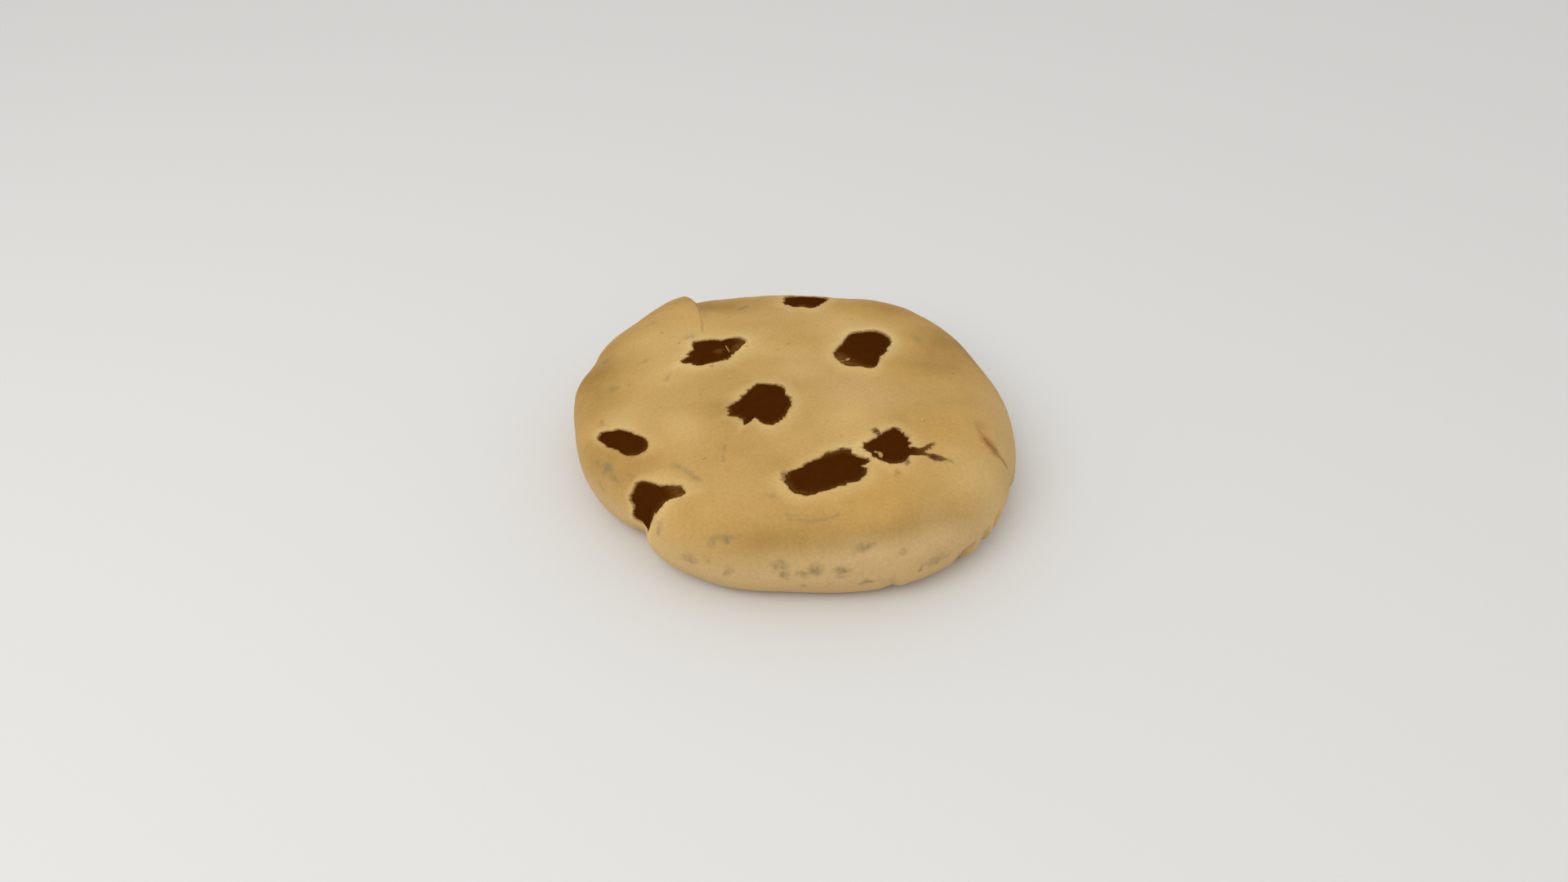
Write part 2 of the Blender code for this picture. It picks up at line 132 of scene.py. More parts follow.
# ---- Chunks, in the places of their solids, some with a finer outline. site is a bearing and a run, or x
# and y in the underside. The middle plane lies sink under the dough, with the crown above it and the keel
# below. rag is how far the edge's teeth stand out, and the chunk is thin and reddish towards the bearings
# in fades ----
Chunk = namedtuple("Chunk", "name site outline sink crown keel rag fades")
CHUNKS = (
    Chunk("far", (84.0, 26.1), (
        (5, 3.7), (35, 4.7), (65, 4.6), (100, 4.2), (130, 4.9), (152, 4.2), (175, 3.7), (205, 4.2),
        (222, 3.8), (240, 4.1), (257, 3.5), (280, 4.1), (305, 3.5), (340, 3.2),
    ), 0.3, 0.7, 3.6, 0.2, (265,)),
    Chunk("upper_right", (33.0, 13.7), (
        (0, 3.6), (20, 4.3), (42, 6.5), (60, 7.3), (75, 6.9), (92, 5.7), (108, 5.4), (130, 4.2), (152, 3.7),
        (180, 4.2), (205, 5.4), (222, 5.6), (240, 6.1), (262, 5.5), (281, 5.8), (300, 4.3), (322, 3.2),
        (342, 3.4),
    ), 0.3, 0.9, 3.8, 0.15, (228,)),
    Chunk("upper_left", (150.9, 13.4), (
        (0, 3.5), (18, 4.6), (32, 5.9), (48, 5.5), (68, 3.7), (90, 3.5), (120, 3.8), (140, 4.4), (158, 3.6),
        (180, 3.6), (192, 4.2), (200, 4.2), (206, 5.6), (215, 5.7), (222, 4.9), (240, 4.7), (260, 3.5),
        (285, 2.8), (320, 2.9), (345, 3.0),
    ), 0.3, 0.9, 3.8, 0.2, (20,)),
    Chunk("centre", (241.2, 9.4), (
        (0, 4.4), (38, 4.5), (55, 5.4), (76, 5.5), (98, 5.6), (118, 4.3), (150, 3.8), (172, 4.2), (183, 5.0),
        (196, 5.1), (209, 5.5), (221, 4.7), (236, 4.7), (244, 5.5), (249, 3.8), (257, 3.5), (266, 4.2),
        (280, 5.1), (310, 4.6), (340, 4.1),
    ), 0.3, 0.9, 3.8, 0.25, ()),
    Chunk("right", (308.6, 20.9), (
        (0, 3.2), (14, 3.3), (33, 3.5), (54, 3.8), (74, 4.1), (88, 3.4), (104, 2.9), (133, 2.5), (153, 2.6),
        (170, 3.3), (189, 3.5), (210, 2.9), (228, 3.0), (255, 3.2), (285, 3.4), (310, 3.4), (335, 3.3),
    ), 0.3, 0.9, 3.6, 0.28, ()),
    Chunk("front", (282.4, 23.0), (
        (5, 5.4), (11, 5.5), (15, 4.7), (19, 6.0), (28, 6.0), (35, 5.4), (45, 5.2), (55, 5.5), (64, 5.0),
        (78, 4.0), (93, 3.5), (102, 2.9), (130, 2.7), (153, 3.3), (173, 4.0), (181, 5.4), (193, 6.0),
        (209, 6.1), (229, 5.4), (251, 3.9), (283, 3.0), (321, 3.3), (342, 4.5), (352, 5.2),
    ), 0.3, 1.1, 3.8, 0.2, (75,)),
    Chunk("left", (208.7, 30.1), (
        (0, 3.3), (15, 2.4), (60, 1.9), (100, 2.3), (128, 3.3), (150, 5.1), (172, 3.0), (200, 1.9),
        (235, 1.5), (268, 1.9), (300, 3.2), (328, 4.4), (348, 4.0),
    ), 0.3, 0.9, 3.0, 0.15, ()),
    Chunk("cleft", (230.8, 34.8), (
        (0, 3.2), (6, 5.2), (16, 5.4), (30, 4.3), (52, 2.9), (80, 2.7), (108, 3.3), (130, 4.3), (150, 4.2),
        (168, 4.5), (182, 3.8), (190, 4.7), (215, 3.8), (235, 4.0), (249, 3.7), (257, 1.8), (285, 1.4),
        (325, 1.5), (350, 2.5),
    ), 0.3, 0.9, 3.0, 0.15, (12,)),
    Chunk("back_left", (114.0, 38.5), (
        (0, 3.6), (40, 3.0), (80, 3.7), (130, 3.2), (170, 4.1), (215, 3.3), (260, 3.6), (310, 3.0),
    ), 0.3, 0.9, 3.0, 0.4, ()),
    Chunk("back_right", (56.0, 39.5), (
        (10, 4.3), (50, 3.1), (95, 3.5), (150, 4.4), (190, 4.0), (235, 3.0), (280, 3.4), (330, 3.2),
    ), 0.3, 0.9, 3.0, 0.4, (180,)),
)
UNDER_CHUNKS = (
    Chunk("under_1", (-12.0, 11.0), (
        (0, 4.2), (50, 3.3), (100, 4.6), (150, 3.9), (210, 3.1), (260, 4.0), (310, 3.4),
    ), 0.9, 0.6, 3.0, 0.4, ()),
    Chunk("under_2", (14.0, 7.0), (
        (15, 3.4), (70, 4.1), (120, 3.0), (180, 3.8), (230, 4.5), (290, 3.2), (335, 3.9),
    ), 0.9, 0.6, 3.0, 0.4, ()),
    Chunk("under_3", (1.0, -17.0), (
        (0, 5.0), (45, 3.4), (100, 3.0), (165, 4.6), (205, 4.1), (255, 2.9), (310, 3.5),
    ), 0.9, 0.6, 3.0, 0.4, ()),
)
CHUNK_SPOKES = 192
CHUNK_BANDS = 28
CHUNK_BOXINESS = 3.0
CHUNK_LUMP_SIZE = 2.2
CHUNK_LUMP_RISE = 0.13
CHUNK_LUMP_FADE = 8
# Teeth of three sizes as size and share of the rag: broad bays, sharp points, and a comb along X.
BAYS = (1.8, 0.5)
POINTS = (0.8, 0.4)
COMB = (0.35, 2.2)
# A tooth or a stroke is this much longer along X than across it.
STROKE_STRETCH = 4.0
# The chocolate is a thin film at a chunk's edge and towards its fades, between two shares of the way out.
EDGE_FILM = 0.5
EDGE_SHARES = (0.86, 1.0)
FADE_FILM = 0.8
FADE_SHARES = (0.55, 1.0)
FADE_FOCUS = 1.6
LIP_RISE = 0.3
LIP_WIDTH = 1.8
LIP_REACH = 3 * LIP_WIDTH
LIP_DEPTH = 4.0
SAG_SPAN = 5.0
SAG_STEPS = 9
# The fine dough dips under each chunk: from POCKET_RIM outside its edge to its full depth at POCKET_WALL.
POCKET_DEPTH = 1.4
POCKET_RIM = 0.08
POCKET_WALL = -0.45
FAR_OFF = 50.0

# ---- Lines drawn into the dough: x, y points, half width, depth, and how grey and how rusty they are ----
# The grey of a line is painted shade in its crack or crease.
Line = namedtuple("Line", "points half_width depth grey rust")
LINES = (
    Line(((29.0, -12.3), (29.9, -12.8), (30.5, -13.6), (31.0, -14.5), (31.7, -15.3)), 0.35, 0.8, 1.0, 0.0),
    Line(((28.0, -11.2), (28.5, -11.8), (29.2, -12.3)), 0.35, 0.15, 0.3, 0.4),
    Line(((28.7, -12.7), (29.4, -13.5), (30.0, -14.3)), 0.75, 0.1, 0.0, 0.95),
    Line(((-16.6, -19.2), (-14.8, -21.1), (-12.9, -23.2)), 0.45, 0.15, 0.5, 0.0),
    Line(((-9.6, -16.8), (-9.7, -20.2)), 0.2, 0.1, 0.4, 0.0),
    Line(((-0.5, -30.1), (2.1, -30.2), (4.5, -30.0), (6.5, -29.3)), 0.25, 0.12, 0.45, 0.0),
    Line(((-0.8, -29.3), (2.1, -29.5)), 0.25, 0.08, 0.3, 0.0),
    Line(((-14.6, 13.3), (-14.8, 16.4), (-15.4, 19.7), (-16.7, 23.9)), 0.2, 0.08, 0.5, 0.0),
)
# Lines and dents are bent by noise, so that none is straight or even. A run counts as MIDDLE_RUN at least.
WARP_SIZE = 1.1
WARP_REACH = 0.5
WARP_SEEDS = (21.0, 22.0)
MIDDLE_RUN = 1
LINE_WARP = 0.4
# Their grey is streaked by noise about its mean.
STREAK_SIZE = 0.7
STREAK_MEAN = 0.9
STREAK_SWING = 0.4

# ---- Grey marks, each with a shallow dent: the grey is painted shade in the dent, and partly chocolate showing under the surface. half_length lies round the disc and half_height down it; lean is in degrees
ShadedDent = namedtuple("ShadedDent", "bearing run half_length half_height lean strength")
SHADED_DENTS = tuple(ShadedDent(*row) for row in (
    (211.5, 34.8, 1.1, 0.8, 0, 1.0), (215.5, 35.3, 1.1, 0.5, 0, 0.6), (207.5, 34.9, 0.8, 0.5, 0, 0.45),
    (211.5, 38.1, 0.9, 0.5, 0, 0.4), (220, 33.6, 0.8, 0.4, -20, 0.4), (199.5, 35.1, 0.4, 0.9, 0, 0.45),
    (236.5, 36.9, 0.6, 0.9, 10, 0.6), (253.2, 34.5, 1.9, 0.45, 15, 0.8), (251, 35.2, 0.6, 0.6, 0, 0.5),
    (246, 39.0, 1.0, 0.7, 10, 0.65), (250.5, 37.9, 0.6, 0.5, 0, 0.35), (255.5, 39.4, 0.6, 0.9, 0, 0.5),
    (267, 37.8, 0.9, 0.8, 0, 0.7), (268.3, 39.4, 0.6, 0.8, 0, 0.75), (264.5, 27.6, 0.8, 0.6, 0, 0.4),
    (272.6, 39.1, 1.0, 0.6, 10, 0.65), (275.2, 38.3, 0.9, 0.8, 20, 0.8), (281, 38.7, 0.9, 0.8, 0, 0.75),
    (272.5, 41.8, 0.4, 0.4, 0, 0.65), (278.5, 41.2, 0.4, 0.3, 0, 0.5), (287, 41.1, 1.0, 0.5, 0, 0.75),
    (286.3, 35.0, 1.3, 0.5, 22, 0.8), (294.5, 36.3, 0.8, 0.5, 0, 0.45), (299, 39.9, 0.4, 0.5, 0, 0.65),
    (303, 39.6, 1.5, 0.6, 0, 0.65), (340, 29.0, 0.7, 0.9, 30, 0.5), (163, 31.6, 1.0, 0.45, -20, 0.7),
    (176, 31.8, 0.25, 0.9, 0, 0.55), (179.5, 28.3, 0.8, 0.8, 0, 0.6), (195.5, 31.0, 1.0, 0.3, 16, 0.55),
    (166, 23.7, 1.2, 0.35, -45, 0.45), (178.5, 19.3, 0.9, 0.25, -36, 0.5), (145.5, 19.2, 0.9, 0.8, 0, 0.4),
    (143.5, 27.7, 0.8, 0.6, 0, 0.35), (109, 24.9, 1.2, 0.45, 40, 0.75), (120.5, 26.7, 0.6, 0.4, 0, 0.35),
    (101.5, 19.8, 0.7, 0.4, 0, 0.3), (34, 24.9, 0.9, 0.5, 0, 0.35), (29.5, 27.4, 0.7, 0.5, 0, 0.35),
))
DENT_DEPTH = 0.12
DENT_SPREAD = 1.35
DENT_SHADE_EDGE = (0.05, 0.95)
# The hidden back of the side gets shaded dents of the same kind, each value drawn between two limits.
BACK_DENTS = 22
BACK_SEED = 11
BACK_LIMITS = ShadedDent((5.0, 155.0), (33.0, 43.0), (0.5, 1.5), (0.3, 0.8), (-40, 40), (0.4, 0.8))

# ---- Colour patches: paler where tone is above 0, browner where it is below. Above 0, dull is how far gold
# gives way to the side's beige, and below 0 how much more golden the dough is ----
# The tone is partly the bake's own browning and paleness and partly painted light and shade.
Patch = namedtuple("Patch", "x y spread tone dull", defaults=(0,))
PATCHES = tuple(Patch(*row) for row in (
    (27, 15, 7, -0.7), (17, 26, 5, -0.7), (22, 6, 5, -0.5), (16, 12, 5, 0.5), (-14, 25, 5, -0.6),
    (-9, 26, 4, -0.3), (-26, 22, 4, -0.4), (-21, 9, 8, 0.4), (-14, 15, 5, 0.2), (-32, 6, 5, -0.9),
    (-31, 14, 4, -0.4), (-20, 2, 5, 0.3), (-6, 9, 5, 0.4), (1, 4, 4, 0.3), (-25, -18, 6, -0.6),
    (-26, -10, 4, 0.3), (-11, -10, 4, -0.4), (-16, -9, 6, 0.25), (-6, -17, 6, -0.1), (4, -31, 6, -0.2),
    (-5, -34, 5, -0.2), (12, -25, 6, 0, -0.5), (22, -14, 5, -0.15, -0.5), (10, -10, 5, 0.35),
    (7, 0, 3.5, -0.25), (15, -12, 4, -0.15), (9, 16, 6, 0.45), (24, -19, 5, 0.4), (-16, -26, 4, -0.25),
    (-25, -7, 4, 0.2), (33, -11, 3, -0.4), (-18, -27, 4, 0.3), (9, -19, 3, 0.5), (8, -2, 4.5, 0, 0.4),
    (14, -6, 4, 0, 0.4), (2, 3, 4, 0, 0.3), (29, -22, 5, 0.2, 0.6), (35, -4, 5, 0, 0.8),
    (35, -13, 5, 0, 0.8), (20, -30, 5, -0.3, 0.5), (12, -36, 5, 0, 0.4), (-31, -2, 5, -0.5),
    (-32, -14, 4, -0.5), (-25, 4, 5, -0.2), (-10, -16, 3, -0.2), (-20, -25, 4, 0.3), (13, 20, 7, 0, -0.5),
    (17, 4, 5, 0, -0.4), (-12, 18, 6, 0, -0.3), (5, -20, 4, 0, -0.4), (-27, -27, 5, 0.6),
    (7, -12.5, 4.5, 0.3), (0, -16, 3.5, 0.2), (-15, -12.5, 4, 0.25), (18, -31, 4.5, -0.3),
    (30, -22, 4, 0.25),
))
# Painted highlight on the raised lip round each chunk: the dough there is paler over this width, by this
# share.
LIP_HIGHLIGHT_WIDTH = 1.9
LIP_HIGHLIGHT_STRENGTH = 0.6
# Chocolate stains the dough round a chunk: this wide at least, and in strokes as far as the chunk is ragged.
STAIN_EDGE = 0.8
STAIN_SPREAD = 0.42
STAIN_SEED = 12.0
STROKE_SIZE = 0.35
STROKE_REACH = 3.2
# The side is paler and less golden than the top, partly from a lighter bake and partly as painted light that
# lifts it out of its shade. Round the shoulder its colour starts higher up, over a browner band of painted
# shade.
SIDE_RUNS = (34.5, 42.0)
SHOULDER_BEARING = 286.0
SHOULDER_SPREAD = 28.0
SHOULDER_LIFT = 3.5
SHOULDER_RUN = 35.2
SHOULDER_HALF_TALL = 2.5
SHOULDER_SHADE_TONE = -1.0
# The whole dough has soft bands along X, paler and browner.
BAND_SIZE = 4.5
BAND_TONE = 0.2
BAND_SEED = 41.0
# Fine crumb all over the top and side, as size, share and seed.
CRUMB_NOISE = ((2.4, 1.0, 3.0), (1.0, 0.6, 5.0), (0.5, 0.35, 7.0))
# The underside has pores instead, as size and seed. They rise this many times the crumb, not at the rim.
PORE_NOISE = ((1.6, 9.0), (4.5, 2.0))
PORE_RISE = 2.2
PORE_RIM = (0.93, 1.0)
PORE_TONE = 0.3
# The underside's brown fades out between these heights up the side.
UNDER_HEIGHTS = (0.0, 1.2)

# ---- Blots of chocolate on the dough. coat is how brown a blot is, and below 0 it clears another; lean is
# in degrees ----
Blot = namedtuple("Blot", "x y half_length half_width lean coat")
BLOTS = tuple(Blot(*row) for row in (
    (12.3, -14.4, 1.2, 0.7, -50, 0.6), (7.2, -18.3, 1.4, 0.5, 20, 0.5), (-1.0, -23.4, 0.7, 1.3, 0, 0.4),
    (17.0, -18.1, 1.5, 0.8, 0, 0.9), (18.6, -17.8, 1.1, 0.55, 25, 0.7), (19.8, -16.7, 1.5, 0.45, 42, 0.5),
    (19.3, -18.5, 1.5, 0.5, -8, 0.55), (20.8, -18.9, 1.4, 0.75, -5, 0.5), (22.1, -19.2, 1.0, 0.5, -8, 0.18),
    (19.0, -19.5, 1.0, 0.2, 0, -0.4), (16.2, -20.2, 0.5, 0.9, 10, 0.35), (14.7, -22.5, 0.6, 0.9, 0, 0.15),
))
BLOT_FRAY = 0.4
FRAY_SEEDS = (31.0, 32.0)
BLOT_EDGE = (0.4, 1.2)
# Painted highlights on the chunks' broken tops, coloured as lighter, thinner chocolate.
CHUNK_HIGHLIGHTS = (
    Blot(-11.6, 6.5, 1.1, 0.8, 75, 0.5),
    Blot(-16.4, 5.3, 0.9, 0.5, 0, 0.5),
    Blot(7.9, 3.5, 0.9, 0.45, -25, 0.5),
)

# ---- The smear of melted chocolate: each finger is a line of x, y, half width ----
FINGERS = (
    ((15.6, -17.9, 1.2), (16.8, -18.2, 0.9), (18.2, -18.1, 0.6), (19.4, -17.1, 0.35), (20.6, -16.0, 0.12)),
    ((15.8, -18.6, 0.9), (17.2, -18.6, 0.6), (18.4, -18.5, 0.4), (19.6, -18.5, 0.15)),
)
# The smear thins out, and so browns, between these distances from its root.
SMEAR_FADE = (1.0, 4.8)
FINGER_THICK = 0.1
FINGER_SINK = 0.06
FINGER_SPOKES = 16
FINGER_BANDS = 48
# A finger's direction is found over FINGER_LOOK each way, and its girth is full but for its ends.
FINGER_LOOK = 0.3
FINGER_ROUND = 1.6
# Its width varies by this share, at this many waves to a millimetre.
FINGER_WAVE = 0.35
FINGER_WAVES = 1.3
FINGER_SEED = 4.0

# ---- Crumbs of dough on the chunks, and seeded ones on the dough: turn is in degrees from +X, and coat
# is how brown with chocolate the crumb is ----
Crumb = namedtuple("Crumb", "x y length width turn coat")
CRUMBS = (
    Crumb(12.6, -19.3, 1.0, 0.6, 115, 0.3),
    Crumb(12.0, -18.8, 0.8, 0.4, 140, 0.65),
    Crumb(9.0, 3.7, 0.8, 0.5, 20, 0.55),
    Crumb(8.1, 3.6, 0.9, 0.25, -20, 0.7),
    Crumb(-10.2, 7.2, 2.0, 0.28, 112, 0.65),
)
# The drawn ones lie within a reach of the middle, clear of the chunks.
DRAWN_CRUMBS = 24
DRAWN_CRUMB_REACH = 29.0
DRAWN_CRUMB_SIZES = (0.25, 0.5)
DRAWN_CRUMB_WIDTH = 0.8
DRAWN_CRUMB_CLEAR = 0.8
DRAWN_CRUMB_SEED = 23
CRUMB_TALL = 0.6
CRUMB_RISE = 0.12
# A crumb is made irregular by noise, as waves to its half length and how much they swell it.
CRUMB_SWELLS = ((1.6, 0.35), (4, 0.15))
CRUMB_SHIFT = 50

# ---- The stage, in metres. The lens and its sensor are in millimetres ----
AIM = Vector((-1.1, 0.0, 3.15)) * MM
LENS = 24.44
SENSOR = 36.0
NEAREST_VIEW = 0.005
KEY_PLACE = Vector((-0.20, -0.26, 0.36))
KEY_SIZE = 0.40
FLOOR_GAP = 0.05 * MM
FLOOR_SIDES = 96
FLOOR_ROUGHNESS = 0.9


def ramp(low, high, value):
    """0 up to low, 1 from high on, and a smooth rise between."""
    share = np.clip((np.asarray(value, float) - low) / (high - low), 0, 1)
    return share * share * (3 - 2 * share)


def bell(value, width):
    """1 at 0, falling off on both sides over about that width."""
    return np.exp(-((value / width) ** 2))


def degrees_past(bearing, middle):
    """How far a bearing lies past the middle one, from -180 to 180 degrees."""
    return (bearing - middle + 180) % 360 - 180


def soft_noise(points, size, seed=0.0):
    """Smooth noise from about -1 to 1, with lumps of about that size."""
    shift = Vector((0, 0, seed))
    return np.array([noise.noise(Vector(p) / size + shift) for p in points])


def strokes_at(points, size, seed=0.0):
    """Noise drawn out along X."""
    return soft_noise(points * (1 / STROKE_STRETCH, 1, 1), size, seed)


def reach_at(stations, bearing):
    """The reach at any bearing, on a smooth closed curve through the stations."""
    angles, reaches = np.array(stations, float).T
    span = np.diff(np.append(angles, angles[0] + 360))
    rise = np.diff(np.append(reaches, reaches[0])) / span
    before = np.roll(span, 1)
    slope = (np.roll(rise, 1) * span + rise * before) / (span + before)
    turned = (np.asarray(bearing, float) - angles[0]) % 360
    index = np.searchsorted(angles - angles[0], turned, side="right") - 1
    following = (index + 1) % len(angles)
    t = (turned - (angles - angles[0])[index]) / span[index]
    ease_in = t * (1 - t) ** 2 * span[index] * slope[index]
    ease_out = -t * t * (1 - t) * span[index] * slope[following]
    level = reaches[index] + (reaches[following] - reaches[index]) * t * t * (3 - 2 * t)
    return level + ease_in + ease_out


def cross_section():
    """The disc's half section as runs, shares of the reach, insets from it, and heights."""
    over = np.linspace(0, math.pi / 2, SECTION_STEPS)
    share = np.sin(over) ** (2 / DOME_FULLNESS)
    height = WAIST_HEIGHT + (THICKNESS - WAIST_HEIGHT) * np.cos(over) ** (2 / DOME_FULLNESS)
    under = np.linspace(0, math.pi / 2, SECTION_STEPS)[1:]
    share = np.append(share, np.ones(len(under)))
    height = np.append(height, WAIST_HEIGHT * (1 - np.sin(under)))
    inset = np.append(np.zeros(len(over)), BASE_TUCK * (1 - np.cos(under)))
    steps = np.hypot(np.diff(share * MEAN_REACH - inset), np.diff(height))
    return np.append(0, np.cumsum(steps)), share, inset, height


SECTION = cross_section()
FULL_RUN = SECTION[0][-1]
WAIST_RUN = float(np.interp(-WAIST_HEIGHT, -SECTION[3], SECTION[0]))


def polar(distance, bearing, height):
    """Points at that distance from the middle, as an array of x, y, z."""
    angle = np.radians(bearing)
    return np.stack([distance * np.cos(angle), distance * np.sin(angle), height], -1)


def plain_point(bearing, run):
    """The disc's points before they have any relief."""
    runs, shares, insets, heights = SECTION
    distance = reach_at(OUTLINE, bearing) * np.interp(run, runs, shares) - np.interp(run, runs, insets)
    return polar(distance, bearing, np.interp(run, runs, heights))


def plain_normal(bearing, run):
    """The outward direction there. Close to the top the two tangents shrink, so it is straight up."""
    outer = np.minimum(run + NORMAL_STEP, FULL_RUN)
    outwards = plain_point(bearing, outer) - plain_point(bearing, run - NORMAL_STEP)
    turn = np.degrees(NORMAL_STEP / np.maximum(run, NORMAL_STEP))
    around = plain_point(bearing + turn, run) - plain_point(bearing - turn, run)
    normal = np.cross(outwards, around)
    length = np.linalg.norm(normal, axis=-1, keepdims=True)
    upright = (run[:, None] < NORMAL_STEP) | (length < TINY)
    return np.where(upright, (0.0, 0.0, 1.0), normal / np.maximum(length, TINY))


def fold_rise(run, points, edge):
    """The far left lobe's edge: a step along the fold, highest at the rim and dying out inwards."""
    x, y = points[:, 0], points[:, 1]
    left = FOLD_X - FOLD_BEND * (y - FOLD_END) ** 2 - x
    lobe = ramp(-edge, edge, left) * bell(np.maximum(left, 0), FOLD_REACH)
    side = 1 - (1 - FOLD_SIDE_SHARE) * ramp(FOLD_SIDE_RUN, WAIST_RUN, run)
    return FOLD_RISE * lobe * ramp(FOLD_END, FOLD_FULL, y) * side


def cleft_off(bearing, run):
    """How many degrees a place lies from the bottom of the cleft, which slants on its way down."""
    return degrees_past(bearing, CLEFT_BEARING + CLEFT_SLANT * (run - CLEFT_TOP_RUN))


def cleft_drop(bearing, run):
    groove = bell(cleft_off(bearing, run), CLEFT_HALF_WIDTH)
    return CLEFT_DEPTH * groove * ramp(CLEFT_TOP_RUN, CLEFT_FULL_RUN, run)


def spot_closeness(spot, points):
    return bell(np.hypot(points[:, 0] - spot.x, points[:, 1] - spot.y), spot.spread)


def broad_relief(bearing, run, points):
    """The lobes, swellings and hollows of the solids, as a height above the plain disc."""
    rise = fold_rise(run, points, SOLID_FOLD_EDGE) - cleft_drop(bearing, run)
    for swell in SWELLS:
        rise += swell.rise * spot_closeness(swell, points)
    return rise + LUMP_RISE * soft_noise(points, LUMP_SIZE)


def crisp_relief(bearing, run, points):
    """What the fine dough has sharper than the solids: the fold's edge and the cleft's crease."""
    fold = fold_rise(run, points, FOLD_EDGE) - fold_rise(run, points, SOLID_FOLD_EDGE)
    crease = np.exp(-np.abs(cleft_off(bearing, run)) / CREASE_HALF_WIDTH)
    return fold - CREASE_DEPTH * crease * ramp(CLEFT_TOP_RUN, CLEFT_FULL_RUN, run)


def crag_drop(bearing, run):
    """The flakes of the near right side: each swells a little, ends in a step and grows back."""
    drop = np.zeros(len(bearing))
    for crag in CRAGS:
        down = run - crag.run
        slant = down * math.tan(math.radians(crag.roll))
        past = -np.radians(degrees_past(bearing, crag.bearing)) * MEAN_REACH + slant
        notch = ramp(-CRAG_STEP, CRAG_STEP, past) * np.clip(1 - past / crag.length, 0, 1)
        flake = bell(past + FLAKE_WIDTH, FLAKE_WIDTH) * (past < 0)
        window = 1 - ramp(*CRAG_FADE, -down)
        drop += (crag.depth * notch - FLAKE_BULGE * flake) * window
    return drop


def chunk_frame(chunk):
    """Where a chunk lies: its axes as the columns of a matrix, X along the frame's X, and Z outwards."""
    if chunk in UNDER_CHUNKS:
        middle, outwards = Vector((*chunk.site, 0.0)), Vector((0, 0, -1))
    else:
        bearing, run = (np.array([value]) for value in chunk.site)
        point = plain_point(bearing, run)
        outwards = Vector(plain_normal(bearing, run)[0])
        middle = Vector(point[0]) + outwards * float(broad_relief(bearing, run, point)[0])
    along = (Vector((1, 0, 0)) - outwards * outwards.x).normalized()
    axes = Matrix((along, outwards.cross(along), outwards)).transposed().to_4x4()
    return Matrix.Translation(middle - outwards * chunk.sink) @ axes


def moved(points, matrix):
    place = np.array(matrix)
    return points @ place[:3, :3].T + place[:3, 3]


def in_plane_of(chunk, points):
    """The points as seen from the chunk: x and y in its plane, and z outwards."""
    return moved(points, chunk_frame(chunk).inverted())


def sag_terms(x, y):
    return np.stack([np.ones_like(x), x, y, x * x, x * y, y * y], -1)


def chunk_sag(chunk):
    """How the dough curves away under a chunk, as the weights of a quadratic in the chunk's plane."""
    if chunk in UNDER_CHUNKS:
        return np.zeros(6)
    steps = np.linspace(-SAG_SPAN, SAG_SPAN, SAG_STEPS)
    aside, onward = (grid.ravel() for grid in np.meshgrid(steps, steps))
    bearing = chunk.site[0] + np.degrees(aside / chunk.site[1])
    run = chunk.site[1] + onward
    points = plain_point(bearing, run)
    points += plain_normal(bearing, run) * broad_relief(bearing, run, points)[:, None]
    x, y, z = in_plane_of(chunk, points).T
    return np.linalg.lstsq(sag_terms(x, y), z - chunk.sink, rcond=None)[0]


def seed_of(chunk):
    return float(sum(ord(letter) for letter in chunk.name))


def ragged_reach(chunk, bearing):
    """The chunk's outline with its bays, points and comb of strokes."""
    plain = reach_at(chunk.outline, bearing)
    ring = polar(plain, bearing, np.zeros(len(plain)))
    seed = seed_of(chunk)
    bays = BAYS[1] * soft_noise(ring, BAYS[0], seed)
    points = POINTS[1] * (0.5 - 2 * np.abs(soft_noise(ring, POINTS[0], seed)))
    comb = COMB[1] * strokes_at(ring, COMB[0], seed) * np.abs(np.cos(np.radians(bearing)))
    return plain + chunk.rag * (bays + points + comb)


def chunk_offs(chunks, points):
    """For each chunk, how far outside its edge each point lies. Points off its side of the disc are far."""
    offs = np.full((len(chunks), len(points)), FAR_OFF)
    for off, chunk in zip(offs, chunks):
        x, y, z = in_plane_of(chunk, points).T
        apart = np.hypot(x, y)
        near = (np.abs(z) < LIP_DEPTH) & (apart < max(s[1] for s in chunk.outline) + LIP_REACH)
        off[near] = apart[near] - ragged_reach(chunk, np.degrees(np.arctan2(y, x))[near])
    return offs


def pocket_drop(off):
    return POCKET_DEPTH * ramp(-POCKET_RIM, -POCKET_WALL, -off)


def line_closeness(line, points):
    """1 on the line and falling off beside it and beyond its ends."""
    apart = np.full(len(points), FAR_OFF)
    for start, end in zip(line.points, line.points[1:]):
        start, way = np.array(start), np.array(end) - np.array(start)
        share = np.clip(((points[:, :2] - start) @ way) / (way @ way), 0, 1)
        foot = start + share[:, None] * way
        apart = np.minimum(apart, np.linalg.norm(points[:, :2] - foot, axis=1))
    return bell(apart, line.half_width) * (points[:, 2] > WAIST_HEIGHT)


def dent_closeness(shaded_mark, bearing, run, points):
    radius = np.hypot(points[:, 0], points[:, 1])
    around = np.radians(degrees_past(bearing, shaded_mark.bearing)) * radius / DENT_SPREAD
    down = (run - shaded_mark.run) / DENT_SPREAD
    lean = math.radians(shaded_mark.lean)
    along = around * math.cos(lean) - down * math.sin(lean)
    across = around * math.sin(lean) + down * math.cos(lean)
    return np.exp(-((along / shaded_mark.half_length) ** 2) - (across / shaded_mark.half_height) ** 2)


def back_dents():
    """Shaded dents drawn for the hidden back of the side."""
    draw = random.Random(BACK_SEED)
    return tuple(ShadedDent(*(draw.uniform(*pair) for pair in BACK_LIMITS)) for _ in range(BACK_DENTS))


